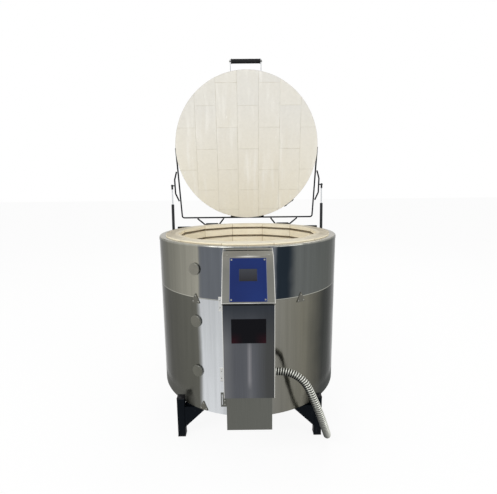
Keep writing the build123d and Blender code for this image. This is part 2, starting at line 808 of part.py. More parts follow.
# Controller on the sloped face
with BuildPart() as controller_plate:
    with BuildSketch(face_plane):
        RectangleRounded(panel_width, panel_height, 4)
        with Locations((0, window_rise)):
            Rectangle(window_width, window_height, mode=Mode.SUBTRACT)
    extrude(amount=panel_sheet)
finish(controller_plate, "controller_plate")

with BuildPart() as controller_screen:
    with BuildSketch(face_plane):
        with Locations((0, window_rise)):
            Rectangle(window_width - 2 * seat_gap, window_height - 2 * seat_gap)
    extrude(amount=panel_sheet * 0.6)
finish(controller_screen, "controller_screen")

inset = 7.0
panel_screws = []
for sx, sy in corners:
    panel_spot = (sx * (panel_width / 2 - inset), sy * (panel_height / 2 - inset), panel_sheet)
    panel_screws.append(Plane(origin=face_plane.from_local_coords(panel_spot), x_dir=(1, 0, 0),
                              z_dir=face_plane.z_dir))
finish(screw_group([(roof_screw_planes, 3.6, 2.4), (panel_screws, 3.2, 2.0)]), "box_cover_screws")

board_gap = 9.0
board_sheet = 1.6
board_width = 108.0
board_height = 136.0
board_post_inset = 6.0
display_height = 6.0
part_height = 11.0
switch_row = -40.0
plug_row = -8.0
board_face = -box_sheet - board_gap
board_spots = [(sx * (board_width / 2 - board_post_inset), sy * (board_height / 2 - board_post_inset), 0)
               for sx, sy in corners]
with BuildPart() as board:
    with Locations(face_plane.offset(board_face)):
        with Locations(*board_spots):
            Cylinder(3, board_gap, align=low)
        with Locations((0, window_rise, 0)):
            Box(window_width - 4, window_height - 4, display_height, align=low)
    with BuildSketch(face_plane.offset(board_face - board_sheet)):
        Rectangle(board_width, board_height)
    extrude(amount=board_sheet)
    with Locations(face_plane.offset(board_face - board_sheet - part_height)):
        with Locations((-36, switch_row, 0), (-12, switch_row, 0), (12, switch_row, 0), (36, switch_row, 0)):
            Box(16, 20, part_height, align=low)
        with Locations((0, plug_row, 0)):
            Box(70, 9, part_height, align=low)
finish(board, "controller_board")

with BuildPart() as blank_label:
    with Locations((0, -cover_front - 0.3, label_centre)):
        Box(label_width, 0.6, label_height)
finish(blank_label, "blank_label_plate")

# Parts carried on the chassis back plate
on_plate = -chassis_back
relay_x = 62.0
relay_heights = (560.0, 640.0, 775.0)
relay_depth = 26.0
lug_spots = [(x, y, relay_depth) for x in (-10, 10) for y in (-21, 21)]
with BuildPart() as relays:
    with Locations(*[facing_front(relay_x, on_plate, z) for z in relay_heights]):
        Box(34, 56, relay_depth, align=low)
        with Locations((0, 0, relay_depth)):
            Box(26, 30, 6, align=low)
        with Locations(*lug_spots):
            Box(6, 9, 8, align=low)
finish(relays, "power_relays")

transformer_x = -62.0
transformer_height = 640.0
transformer_foot = 3.0
core_depth = 30.0
winding_depth = 22.0
with BuildPart() as transformer:
    with Locations(facing_front(transformer_x, on_plate, transformer_height)):
        Box(38, 60, transformer_foot, align=low)
        with Locations((0, 0, transformer_foot)):
            Box(36, 40, core_depth, align=low)
        with Locations((0, 0, transformer_foot + 4)):
            Box(26, 54, winding_depth, align=low)
finish(transformer, "control_transformer")

block_x = -58.0
block_height = 500.0
block_depth = 20.0
terminal_pitch = 14.0
terminal_y = 17.0
terminal_floor = 16.0
fuse_height = 425.0
fuse_out = 13.0
fuse_length = 34.0
with BuildPart() as terminal_block:
    with Locations(facing_front(block_x, on_plate, block_height)):
        Box(44, 56, block_depth, align=low)
        with GridLocations(terminal_pitch, 1, 3, 1):
            with Locations((0, terminal_y, terminal_floor), (0, -terminal_y, terminal_floor)):
                Box(10, 14, 10, align=low, mode=Mode.SUBTRACT)
                Cylinder(4, 3, align=low)
    with Locations(facing_front(block_x, on_plate, fuse_height)):
        Box(20, 44, 8, align=low)
    with Locations(Plane(origin=(block_x, on_plate - fuse_out, fuse_height), z_dir=(0, 0, 1))):
        Cylinder(5, fuse_length)
        with Locations((0, 0, fuse_length / 2 + 1), (0, 0, -fuse_length / 2 - 1)):
            Box(9, 9, 3)
finish(terminal_block, "input_terminals_and_fuse")

# Leads from the incoming terminals to the relays, held at both ends
screw_top = 19.0
lug_top = 34.0
lead_radius = 2.0
lead_bend = 9.0
lead_out = on_plate - 54
lead_start_z = block_height + terminal_y
lead_ends = (
    (block_x - terminal_pitch, relay_x - 10, relay_heights[0] + 21, 0),
    (block_x, relay_x - 10, relay_heights[1] + 21, 7),
    (block_x + terminal_pitch, relay_x + 10, relay_heights[2] - 21, 14),
)
with BuildPart() as leads:
    for start_x, end_x, end_z, out in lead_ends:
        route = [(start_x, on_plate - screw_top - seat_gap, lead_start_z),
                 (start_x, lead_out - out, lead_start_z), (start_x, lead_out - out, end_z),
                 (end_x, lead_out - out, end_z), (end_x, on_plate - lug_top - seat_gap, end_z)]
        with BuildLine() as lead_path:
            FilletPolyline(*route, radius=lead_bend)
        with BuildSketch(facing_front(*route[0])):
            Circle(lead_radius)
        sweep(path=lead_path.line)
finish(leads, "power_leads")

# Conduit connector through the chassis wall, with its locknut
connector_plane = facing_right(chassis_half, conduit_y, conduit_z)
with BuildPart() as conduit_connector:
    with BuildSketch(connector_plane.offset(seat_gap)):
        Circle(conduit_radius + 4)
        Circle(conduit_bore_radius, mode=Mode.SUBTRACT)
    extrude(amount=conduit_x - chassis_half - seat_gap)
    with BuildSketch(connector_plane.offset(seat_gap)):
        RegularPolygon(conduit_radius + 5.5, 6)
        Circle(conduit_bore_radius, mode=Mode.SUBTRACT)
    extrude(amount=7)
    with BuildSketch(connector_plane.offset(-9)):
        Circle(conduit_bore_radius + 2.2)
        Circle(conduit_bore_radius - 1, mode=Mode.SUBTRACT)
    extrude(amount=10)
    with BuildSketch(connector_plane.offset(-box_sheet - seat_gap - 4)):
        RegularPolygon(conduit_bore_radius + 8, 8)
        Circle(conduit_bore_radius - 1, mode=Mode.SUBTRACT)
    extrude(amount=4)
finish(conduit_connector, "conduit_connector")

# Lid slab of staggered bricks and its steel band, drawn in the open position
with BuildPart() as lid_slab:
    with BuildSketch(lid_level(lid_outside)):
        slab_radius = lid_radius - lid_band_sheet - seat_gap
        spots = brick_columns(slab_radius, lid_brick_width, lid_brick_length, lid_brick_gap,
                              -lid_first_joint, lid_stagger)
        with Locations(*[(x, hinge_y + y) for x, y in spots]):
            Rectangle(lid_brick_width - lid_brick_gap, lid_brick_length - lid_brick_gap)
        with Locations((0, hinge_y)):
            Circle(slab_radius, mode=Mode.INTERSECT)
    extrude(amount=lid_thickness)
finish(lid_slab, "lid_slab")

band_inset = 3.0
with BuildPart() as lid_band:
    with BuildSketch(lid_level(lid_outside)):
        with Locations((0, hinge_y)):
            Circle(lid_radius)
            Circle(lid_radius - lid_band_sheet, mode=Mode.SUBTRACT)
    extrude(amount=lid_thickness - band_inset)
finish(lid_band, "lid_band")


def on_band(azimuth, level, radius):
    a = radians(azimuth)
    spot = lid_point(radius * sin(a), hinge_y - radius * cos(a), level)
    outward = lid_plane.from_local_coords(Vector(sin(a), hinge_y - cos(a), 0)) - lid_plane.from_local_coords(
        Vector(0, hinge_y, 0))
    return Plane(origin=spot, x_dir=lid_plane.z_dir, z_dir=outward)


clamp_azimuth = 38.0
with BuildPart() as band_clamp:
    for shift in (-3.2, 3.2):
        with Locations(on_band(clamp_azimuth + shift, frame_level, lid_radius + seat_gap)):
            Box(34, 12, 2, align=low)
        with Locations(on_band(clamp_azimuth + shift, frame_level, lid_radius + seat_gap + 2)):
            Box(30, 7, 8, align=low)
    middle_plane = on_band(clamp_azimuth, frame_level, lid_radius + 7)
    for level in (-8, 8):
        spot = middle_plane.from_local_coords((level, 0, 0))
        with Locations(Plane(origin=spot, x_dir=middle_plane.x_dir, z_dir=middle_plane.y_dir)):
            Cylinder(2, 76)
finish(band_clamp, "lid_band_clamp")

# Lid frame of round rod: two side arms, the crossbar, hinge loops and strut loops
arm_end = crossbar_reach + crossbar_bend
for side, label in ((-1, "left"), (1, "right")):
    arm_foot = lid_point(side * frame_corner_x, arm_end + 16, frame_level)
    arm_head = lid_point(side * frame_side, hinge_y, frame_level)
    with BuildPart() as arm:
        with BuildSketch(Plane(origin=arm_foot, z_dir=arm_head - arm_foot)):
            Circle(rod_radius)
        extrude(amount=(arm_head - arm_foot).length)
    finish(arm, f"lid_frame_arm_{label}")

with BuildPart() as crossbar:
    ends = [lid_point(side * (frame_corner_x - 0.4), arm_end + 15.6, frame_level) for side in (-1, 1)]
    elbows = [lid_point(side * (frame_corner_x - 1.0), crossbar_reach, frame_level) for side in (-1, 1)]
    with BuildLine() as bar_path:
        FilletPolyline(ends[0], elbows[0], elbows[1], ends[1], radius=crossbar_bend)
    with BuildSketch(Plane(origin=ends[0], z_dir=elbows[0] - ends[0])):
        Circle(rod_radius)
    sweep(path=bar_path.line)
finish(crossbar, "lid_frame_crossbar")

with BuildPart() as hinge_loops:
    for side in (-1, 1):
        slant = atan2(crossbar_reach, -frame_level)
        clear = 2 * rod_radius + seat_gap
        start_reach = crossbar_reach - clear * sin(slant)
        start_level = frame_level + clear * cos(slant)
        points = [lid_point(side * (loop_x - loop_inner_top), start_reach, start_level),
                  lid_point(side * (loop_x - loop_half_pin), 0, 0),
                  lid_point(side * (loop_x + loop_half_pin), 0, 0),
                  lid_point(side * (loop_x + loop_outer_top), start_reach, start_level)]
        with BuildLine() as loop_path:
            FilletPolyline(*points, radius=rod_radius * 1.2)
        with BuildSketch(Plane(origin=points[0], z_dir=points[1] - points[0])):
            Circle(rod_radius)
        sweep(path=loop_path.line)
finish(hinge_loops, "lid_hinge_loops")


def arm_x(reach):
    share = (reach - arm_end) / (hinge_y - arm_end)
    return frame_corner_x + share * (frame_side - frame_corner_x)


near = 2 * rod_radius + seat_gap
high_x = arm_x(side_loop_high) + near
low_x = arm_x(side_loop_low) + near
loop_out_x = high_x + side_loop_out
with BuildPart() as strut_loops:
    for side in (-1, 1):
        points = [lid_point(side * high_x, side_loop_high, frame_level),
                  lid_point(side * loop_out_x, side_loop_high - side_loop_slope, frame_level),
                  lid_point(side * loop_out_x, side_loop_low + side_loop_slope, frame_level),
                  lid_point(side * low_x, side_loop_low, frame_level)]
        with BuildLine() as loop_path:
            FilletPolyline(*points, radius=rod_radius * 2)
        with BuildSketch(Plane(origin=points[0], z_dir=points[1] - points[0])):
            Circle(rod_radius)
        sweep(path=loop_path.line)
finish(strut_loops, "lid_strut_loops")
loop_face = loop_out_x + rod_radius
print("strut loop outer face x", round(loop_face, 2))

saddle_low = crossbar_reach + rod_radius + seat_gap
with BuildPart() as saddle:
    with BuildSketch(lid_level(frame_level)):
        for side in (-1, 1):
            with Locations((side * 70, saddle_low + 9)):
                Rectangle(80, 18)
        with Locations((0, hinge_y)):
            Circle(lid_radius + seat_gap, mode=Mode.SUBTRACT)
    extrude(amount=14, both=True)
finish(saddle, "lid_frame_saddle")

# Handle: two bent steel brackets, a rod and a ribbed grip
hole_plane = Plane(origin=lid_point(0, handle_reach, frame_level), x_dir=(0, 1, 0), z_dir=(1, 0, 0))
leg_low = hinge_y + (lid_radius + handle_leg_sheet) * cos(asin(handle_leg_x / lid_radius))
leg_high = handle_reach + handle_leg_width / 2
with BuildPart() as brackets:
    with BuildSketch(lid_level(frame_level)):
        with Locations((0, hinge_y)):
            Circle(lid_radius + seat_gap + handle_leg_sheet)
            Circle(lid_radius + seat_gap, mode=Mode.SUBTRACT)
        with Locations((-handle_leg_x - handle_foot / 2, hinge_y + lid_radius),
                       (handle_leg_x + handle_foot / 2, hinge_y + lid_radius)):
            Rectangle(handle_foot, lid_radius / 2, mode=Mode.INTERSECT)
        for side in (-1, 1):
            with Locations((side * (handle_leg_x + handle_leg_sheet / 2), (leg_low + leg_high) / 2)):
                Rectangle(handle_leg_sheet, leg_high - leg_low)
    extrude(amount=handle_leg_width / 2, both=True)
    with Locations(hole_plane):
        Cylinder(handle_rod_radius + 0.15, 4 * handle_leg_x, mode=Mode.SUBTRACT)
finish(brackets, "lid_handle_brackets")

nut_inner = handle_leg_x + handle_leg_sheet + 0.2
rod_half = nut_inner + handle_nut + 2
with BuildPart() as handle_rod:
    with Locations(hole_plane):
        Cylinder(handle_rod_radius, 2 * rod_half)
    for side in (-1, 1):
        with BuildSketch(hole_plane.offset(side * (nut_inner + handle_nut / 2))):
            RegularPolygon(handle_nut_radius, 6)
        extrude(amount=handle_nut / 2, both=True)

rib_step = grip_length / grip_ribs
with BuildPart() as grip:
    with BuildSketch(Plane.XZ) as grip_profile:
        points = [(handle_rod_radius + 0.2, -grip_length / 2), (grip_radius - 2, -grip_length / 2)]
        for k in range(grip_ribs):
            start = -grip_length / 2 + k * rib_step
            points += [(grip_radius - grip_rib_depth, start + rib_step * 0.1),
                       (grip_radius, start + rib_step * 0.3),
                       (grip_radius, start + rib_step * 0.7),
                       (grip_radius - grip_rib_depth, start + rib_step * 0.9)]
        points += [(grip_radius - 2, grip_length / 2), (handle_rod_radius + 0.2, grip_length / 2)]
        with BuildLine():
            Polyline(*points, close=True)
        make_face()
    revolve(axis=Axis.Z)
grip_at = Plane(origin=hole_plane.origin, x_dir=(0, 1, 0), z_dir=(1, 0, 0))
with BuildPart() as handle_grip:
    with Locations(grip_at):
        add(grip.part)
finish(handle_grip, "lid_handle_grip")

foot_angle = degrees(asin((handle_leg_x + handle_foot * 0.55) / lid_radius))
foot_planes = []
for side in (-1, 1):
    a = radians(side * foot_angle)
    reach = lid_radius + seat_gap + handle_leg_sheet
    spot = lid_point(reach * sin(a), hinge_y + reach * cos(a), frame_level)
    centre = lid_point(0, hinge_y, frame_level)
    foot_planes.append(Plane(origin=spot, x_dir=lid_plane.z_dir, z_dir=spot - centre))
with BuildPart() as handle_fasteners:
    add(handle_rod.part)
    with Locations(*foot_planes):
        add(screw(3.6, 2.4))
finish(handle_fasteners, "lid_handle_fasteners")

# Rear frame: bar behind the rim, uprights to the floor and hinge brackets
arm_height = 110.0
arm_depth = 16.0
bar_half = upright_x + bar_side / 2
bar_bottom = bar_z - bar_side / 2
with BuildPart() as rear_bar:
    with Locations((0, bar_y, bar_z)):
        Box(2 * bar_half, bar_side, bar_side)
        Box(2 * bar_half - 4, bar_side - 4, bar_side - 4, mode=Mode.SUBTRACT)
    with BuildSketch(Plane.XY.offset(bar_bottom)):
        with Locations((0, (jacket_radius + bar_y) / 2)):
            Rectangle(60, bar_y - jacket_radius)
        with Locations((0, bar_y)):
            Rectangle(70, bar_side + 2 * seat_gap, mode=Mode.SUBTRACT)
        Circle(skirt_inner + sheet + seat_gap, mode=Mode.SUBTRACT)
    extrude(amount=bar_side)
finish(rear_bar, "rear_bar")
with BuildPart() as uprights:
    with BuildSketch(Plane.XY.offset(foot_height)):
        with Locations((-upright_x, bar_y), (upright_x, bar_y)):
            Rectangle(bar_side, bar_side)
            Rectangle(bar_side - 4, bar_side - 4, mode=Mode.SUBTRACT)
    extrude(amount=bar_bottom - foot_height)
    floor_bar = rear_pad_y - bar_y
    floor_bar_y = bar_y + (bar_side + floor_bar) / 2
    with Locations(*[(side * upright_x, floor_bar_y, foot_height) for side in (-1, 1)]):
        Box(bar_side, floor_bar, bar_side, align=low)

    for side in (-1, 1):
        with BuildSketch(Plane.XY.offset(arm_height)):
            with BuildLine():
                Polyline((side * (upright_x - bar_side / 2), bar_y - 9),
                         (side * (upright_x - bar_side / 2), bar_y + 9),
                         (side * post_offset_x, bar_y + 9), (side * (post_offset_x - 9), bar_y),
                         (side * (post_offset_x - 9), post_offset_y + post_side / 2),
                         (side * (post_offset_x + 9), post_offset_y + post_side / 2),
                         (side * (post_offset_x + 9), bar_y - 9), close=True)
            make_face()
        extrude(amount=arm_depth)
finish(uprights, "rear_uprights")

bracket_sheet = 4.0
bracket_face = bar_y + bar_side / 2
with BuildPart() as hinge_brackets:
    for side in (-1, 1):
        with BuildSketch(Plane.YZ.offset(side * loop_x - barrel_length / 2)):
            with Locations((hinge_y, hinge_z)):
                Circle(barrel_radius)
            with Locations((bracket_face + bracket_sheet / 2, (hinge_z + bar_bottom - 14) / 2)):
                Rectangle(bracket_sheet, hinge_z - bar_bottom + 14)
            with Locations((hinge_y, hinge_z)):
                Circle(rod_radius + running_fit, mode=Mode.SUBTRACT)
        extrude(amount=barrel_length)
finish(hinge_brackets, "hinge_brackets")
back_screw_spots = [(side * loop_x + x, bracket_face + bracket_sheet, bar_z - 4)
                    for side in (-1, 1) for x in (-27, 0, 27)]
back_screws = [Plane(origin=spot, x_dir=(-1, 0, 0), z_dir=(0, 1, 0)) for spot in back_screw_spots]
finish(screw_group([(plate_planes, 3.0, 2.0), (mount_screw_planes, 4.5, 3.0), (leaf_screws, 2.4, 1.6),
                    (tab_screws, 3.4, 2.2), (back_screws, 5.0, 4.0)]), "case_screws")

# Gas struts: lower mounts, tubes and rods, upper pivot left open at the stud
strut_low_y = hinge_y
strut_low_z = hinge_z - strut_pivot_drop
strut_top = lid_point(strut_x, strut_reach, frame_level)
strut_vector = Vector(0, strut_top.Y - strut_low_y, strut_top.Z - strut_low_z)
open_length = strut_vector.length
closed_angle = atan2(-frame_level, strut_reach)
ball_radius = hypot(strut_reach, frame_level)
closed_y = hinge_y - ball_radius * cos(closed_angle)
closed_z = hinge_z + ball_radius * sin(closed_angle)
closed_length = hypot(closed_y - strut_low_y, closed_z - strut_low_z)
swing = degrees(atan2(strut_low_y - closed_y, closed_z - strut_low_z) - atan2(-strut_vector.Y, strut_vector.Z))
print("strut open", round(open_length, 3), "closed", round(closed_length, 3), "swing", round(swing, 4),
      "swing ratio", round(swing / open_angle, 6),
      "slide ratio m/rad", round((open_length - closed_length) / 1000 / radians(open_angle), 6),
      "slide axis", [round(v, 6) for v in -strut_vector.normalized()])

lug_sheet = 5.0
lug_outer = strut_x - tube_radius - 1.5
shelf_inner = upright_x + bar_side / 2
pin_head = 3.0
with BuildPart() as mounts:
    for side in (-1, 1):
        with BuildSketch(Plane.YZ.offset(side * (lug_outer - lug_sheet / 2))):
            with Locations((strut_low_y - 6, strut_low_z)):
                RectangleRounded(34, 30, 5)
        extrude(amount=lug_sheet / 2, both=True)
        with Locations((side * (shelf_inner + lug_outer) / 2, bar_y, strut_low_z)):
            Box(lug_outer - shelf_inner, bar_side, 12)
        pin_plane = Plane(origin=(side * lug_outer, strut_low_y, strut_low_z), z_dir=(side, 0, 0))
        collar = strut_x - lug_outer - eye_width / 2 - seat_gap
        with Locations(pin_plane):
            Cylinder(pivot_pin_radius, collar + eye_width + 2 * seat_gap, align=low)
            Cylinder(pivot_pin_radius + 2, collar, align=low)
        with Locations(pin_plane.offset(collar + eye_width + 2 * seat_gap)):
            Cylinder(pivot_pin_radius + 2.5, pin_head, align=low)
finish(mounts, "strut_lower_mounts")

for side, label in ((-1, "left"), (1, "right")):
    low_pivot = Vector(side * strut_x, strut_low_y, strut_low_z)
    along = Plane(origin=low_pivot, x_dir=(1, 0, 0), z_dir=strut_vector)
    across = Plane(origin=low_pivot, x_dir=(0, 1, 0), z_dir=(1, 0, 0))
    tube_end = tube_start + tube_length
    neck = strut_rod_radius + running_fit
    bore = tube_radius - tube_wall
    with BuildPart() as tube:
        with BuildSketch(Plane(origin=low_pivot, x_dir=(1, 0, 0), z_dir=Vector(1, 0, 0).cross(strut_vector))):
            with BuildLine():
                Polyline((0, tube_start), (tube_radius - tube_edge, tube_start),
                         (tube_radius, tube_start + tube_edge), (tube_radius, tube_end - tube_edge),
                         (tube_radius - tube_edge, tube_end), (neck, tube_end),
                         (neck, tube_end - tube_end_wall), (bore, tube_end - tube_end_wall),
                         (bore, tube_start + tube_end_wall), (0, tube_start + tube_end_wall), close=True)
            make_face()
        revolve(axis=Axis(low_pivot, strut_vector))
        with Locations(along):
            Box(0.8 * eye_width, 0.8 * eye_width, tube_start + 3, align=low)
        with Locations(across):
            Cylinder(eye_radius, eye_width)
            Cylinder(pivot_pin_radius + running_fit, eye_width * 2, mode=Mode.SUBTRACT)
    finish(tube, f"strut_tube_{label}")

    rod_start = open_length - (open_length - tube_start - tube_length) - strut_overlap
    with BuildPart() as strut_rod:
        with Locations(along.offset(rod_start)):
            Cylinder(strut_rod_radius, open_length - rod_start - socket_radius + 2, align=low)
        with Locations(along.offset(rod_start)):
            Cylinder(tube_radius - tube_wall - running_fit, 10, align=low)
        with Locations(along.offset(open_length - 24)):
            Cylinder(6, 18, align=low)
        ball = low_pivot + strut_vector
        with Locations(ball):
            Sphere(socket_radius)
        stud_start = loop_face + 0.5
        with Locations(Plane(origin=(side * stud_start, ball.Y, ball.Z), z_dir=(side, 0, 0))):
            Cylinder(pivot_pin_radius, strut_x - stud_start, align=low)
    finish(strut_rod, f"strut_rod_{label}")

# Conduit: ribbed free stretch, plain turn on the floor, end connector
floor_z = conduit_radius + floor_clear
route = [
    (conduit_x, conduit_y, conduit_z),
    (128, conduit_y, conduit_z),
    (164, conduit_y, 396),
    (199, -522, 378),
    (232, -524, 344),
    (262, -525, 276),
    (289, -517, 208),
    (310, -503, 145),
    (326, -478, 95),
    (341, -434, 48),
    (352, -373, 18),
    (354, -303, floor_z),
    (342, -210, floor_z),
    (320, -125, floor_z),
    (295, -45, floor_z),
    (295, 55, floor_z),
]
coil_centre = (route[-1][0] - coil_loop_radius, route[-1][1])


def bend_radii(points):
    radii = []
    for a, b, c in zip(points, points[1:], points[2:]):
        run_in = Vector(b) - Vector(a)
        run_out = Vector(c) - Vector(b)
        turn = radians(run_in.get_angle(run_out))
        radii.append(0.45 * min(run_in.length, run_out.length) / tan(turn / 2))
    return radii


radii = bend_radii(route)
print("conduit bend radii", [round(r) for r in radii])
with BuildLine() as conduit_line:
    FilletPolyline(*route, radius=radii)
conduit_path = conduit_line.wire()
free_length = conduit_path.length


straight_end = 2 * conduit_radius
rib_count = int((free_length - 2 * straight_end) / rib_pitch)
rib_start = (free_length - rib_count * rib_pitch) / 2
rings = [(0, conduit_root_radius)]
for k in range(rib_count):
    at = rib_start + k * rib_pitch
    rings += [(at, conduit_root_radius), (at + 0.25 * rib_pitch, conduit_radius),
              (at + 0.65 * rib_pitch, conduit_radius), (at + 0.9 * rib_pitch, conduit_root_radius)]
rings += [(free_length, conduit_root_radius)]
rings_per_loft = 100
with BuildPart() as conduit:
    for first in range(0, len(rings) - 1, rings_per_loft):
        for distance, radius in rings[first:first + rings_per_loft + 1]:
            share = distance / free_length
            heading = conduit_path % share
            steady = Vector(0, 0, 1).cross(heading)
            with BuildSketch(Plane(origin=conduit_path @ share, x_dir=steady, z_dir=heading)):
                Circle(radius)
        loft(ruled=True)
    with BuildSketch(Plane(origin=route[0], x_dir=(0, 1, 0), z_dir=conduit_path % 0)):
        Circle(conduit_bore_radius)
    sweep(path=conduit_path, mode=Mode.SUBTRACT)
finish(conduit, "conduit_free")
print("conduit free length", round(free_length, 1), "ribs", rib_count, "volume", round(conduit.part.volume),
      "plain shell volume", round(pi * (conduit_radius ** 2 - conduit_bore_radius ** 2) * free_length))

with BuildPart() as conduit_coil:
    with BuildLine() as coil_line:
        CenterArc((coil_centre[0], coil_centre[1], floor_z), coil_loop_radius, 0, coil_turn)
    with BuildSketch(Plane(origin=route[-1], z_dir=(0, 1, 0))):
        Circle(conduit_root_radius)
        Circle(conduit_bore_radius, mode=Mode.SUBTRACT)
    sweep(path=coil_line.line)
finish(conduit_coil, "conduit_coil")
turned_length = coil_loop_radius * radians(coil_turn)
print("conduit turn length", round(turned_length, 1), "volume", round(conduit_coil.part.volume),
      "section times length",
      round(pi * (conduit_root_radius ** 2 - conduit_bore_radius ** 2) * turned_length),
      "whole conduit", round(free_length + turned_length, 1))

end_at = coil_line.line @ 1
end_plane = Plane(origin=end_at, z_dir=coil_line.line % 1)
with BuildPart() as end_connector:
    with BuildSketch(end_plane.offset(seat_gap)):
        Circle(conduit_radius)
        Circle(conduit_bore_radius, mode=Mode.SUBTRACT)
    extrude(amount=26)
    with BuildSketch(end_plane.offset(26)):
        Circle(conduit_bore_radius + 2.2)
        Circle(conduit_bore_radius - 1, mode=Mode.SUBTRACT)
    extrude(amount=16)
    with BuildSketch(end_plane.offset(32)):
        RegularPolygon(conduit_bore_radius + 3.9, 8)
        Circle(conduit_bore_radius - 1, mode=Mode.SUBTRACT)
    extrude(amount=4)
finish(end_connector, "conduit_end_connector")
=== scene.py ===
import math

import bmesh
import bpy
import numpy as np
from mathutils import Matrix, Vector, noise


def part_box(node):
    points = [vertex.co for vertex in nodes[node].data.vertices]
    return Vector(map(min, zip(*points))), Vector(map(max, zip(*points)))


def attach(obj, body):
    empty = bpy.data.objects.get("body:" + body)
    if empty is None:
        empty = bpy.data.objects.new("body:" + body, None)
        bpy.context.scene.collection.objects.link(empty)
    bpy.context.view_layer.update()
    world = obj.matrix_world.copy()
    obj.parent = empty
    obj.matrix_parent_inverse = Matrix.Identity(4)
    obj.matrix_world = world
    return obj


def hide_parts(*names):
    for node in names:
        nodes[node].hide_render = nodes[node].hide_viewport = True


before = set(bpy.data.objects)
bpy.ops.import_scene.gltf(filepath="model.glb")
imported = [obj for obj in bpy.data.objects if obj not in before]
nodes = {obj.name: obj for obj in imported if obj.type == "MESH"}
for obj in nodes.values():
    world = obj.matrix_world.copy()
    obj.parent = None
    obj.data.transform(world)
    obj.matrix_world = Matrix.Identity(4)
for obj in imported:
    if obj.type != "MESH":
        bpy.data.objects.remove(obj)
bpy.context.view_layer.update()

print("frame loaded:", len(nodes), "nodes")


def tone(colour):
    # screen colour 0-255 to the linear colour that a shader wants
    parts = [part / 255 for part in colour]
    return tuple(c / 12.92 if c <= 0.04045 else ((c + 0.055) / 1.055) ** 2.4 for c in parts)


# the camera; its angles are in radians
cameraLook = {"place": (-0.00227, -1.8192, 1.1281), "lens": 25.466, "sensor": 36, "down": 0.169, "turn": -0.00369,
              "roll": -0.0101}


def makeCamera(look):
    down, turn, roll = look["down"], look["turn"], look["roll"]
    ahead = Vector((-math.sin(turn) * math.cos(down), math.cos(turn) * math.cos(down), -math.sin(down)))
    right = Vector((math.cos(turn), math.sin(turn), 0))
    up = Vector((-math.sin(turn) * math.sin(down), math.cos(turn) * math.sin(down), math.cos(down)))
    tiltedRight = right * math.cos(roll) + up * math.sin(roll)
    tiltedUp = up * math.cos(roll) - right * math.sin(roll)
    data = bpy.data.cameras.new("studioCamera")
    data.sensor_width = look["sensor"]
    data.lens = look["lens"]
    camera = bpy.data.objects.new("studioCamera", data)
    bpy.context.scene.collection.objects.link(camera)
    turned = Matrix((tiltedRight, tiltedUp, -ahead)).transposed().to_4x4()
    camera.matrix_world = Matrix.Translation(look["place"]) @ turned
    bpy.context.scene.camera = camera


makeCamera(cameraLook)
print("camera placed")


def addObject(name, data):
    made = bpy.data.objects.new(name, data)
    bpy.context.scene.collection.objects.link(made)
    return made


def tubeFromRings(name, rings):
    # rings is an array: places along, points around, xyz
    count, around = rings.shape[:2]
    index = np.arange(count * around).reshape(count, around)
    beside = np.roll(index, -1, axis=1)
    faces = np.stack([index[:-1], beside[:-1], beside[1:], index[1:]], -1).reshape(-1, 4).tolist()
    faces += [index[0][::-1].tolist(), index[-1].tolist()]
    mesh = bpy.data.meshes.new(name)
    mesh.from_pydata(rings.reshape(-1, 3).tolist(), [], faces)
    work = bmesh.new()
    work.from_mesh(mesh)
    bmesh.ops.recalc_face_normals(work, faces=work.faces)
    work.to_mesh(mesh)
    work.free()
    mesh.polygons.foreach_set("use_smooth", [True] * len(mesh.polygons))
    return addObject(name, mesh)


def addSpline(curve, points, steps):
    spline = curve.splines.new("NURBS")
    spline.points.add(len(points) - 1)
    for spot, at in zip(spline.points, points):
        spot.co = (*at, 1)
    spline.order_u = 3
    spline.use_endpoint_u = True
    spline.resolution_u = steps


def splineLine(points, steps=24):
    # points along the smooth curve that the control points give
    curve = bpy.data.curves.new("routeLine", "CURVE")
    curve.dimensions = "3D"
    addSpline(curve, points, steps)
    holder = bpy.data.objects.new("routeLine", curve)
    mesh = bpy.data.meshes.new_from_object(holder)
    line = np.array([v.co[:] for v in mesh.vertices])
    bpy.data.objects.remove(holder)
    return line


def evenly(line, step):
    # the same line with its points a fixed step apart, and its length
    gaps = np.linalg.norm(np.diff(line, axis=0), axis=1)
    along = np.concatenate([[0], np.cumsum(gaps)])
    count = max(int(round(along[-1] / step)), 2)
    wanted = np.linspace(0, along[-1], count + 1)
    spread = np.stack([np.interp(wanted, along, line[:, k]) for k in range(3)], -1)
    return spread, along[-1]


def carriedFrames(line):
    # two directions across the line that turn as little as they can; the line starts level
    heading = np.gradient(line, axis=0)
    heading /= np.linalg.norm(heading, axis=1)[:, None]
    side = np.zeros_like(line)
    start = np.cross(heading[0], (0, 0, 1))
    side[0] = start / np.linalg.norm(start)
    for i in range(1, len(line)):
        kept = side[i - 1] - heading[i] * np.dot(side[i - 1], heading[i])
        side[i] = kept / np.linalg.norm(kept)
    return side, np.cross(heading, side)


# the flexible conduit, a ribbed hose that lies on the floor behind the front leg
conduit = {
    "radius": 0.0165, "groove": 0.013, "pitch": 0.0097, "around": 28, "perPitch": 8,
    "route": [(0.104, -0.52, 0.403), (0.128, -0.52, 0.403), (0.164, -0.52, 0.396), (0.199, -0.522, 0.378),
              (0.232, -0.524, 0.344), (0.262, -0.525, 0.276), (0.289, -0.517, 0.208), (0.31, -0.503, 0.145),
              (0.326, -0.478, 0.095), (0.341, -0.434, 0.048), (0.352, -0.373, 0.018), (0.354, -0.303, 0.0168),
              (0.342, -0.21, 0.0168), (0.32, -0.125, 0.0168), (0.295, -0.045, 0.0168), (0.295, 0.055, 0.0168)],
    "loopCentre": (0.11, 0.055), "loopRadius": 0.185, "loopTurn": 254, "loopPoints": 10,
    "rib": (1, 1, 0.8, 0.25, 0, 0, 0.25, 0.8),  # one rounded strip and its groove, perPitch values
    "length": 1.808,
}


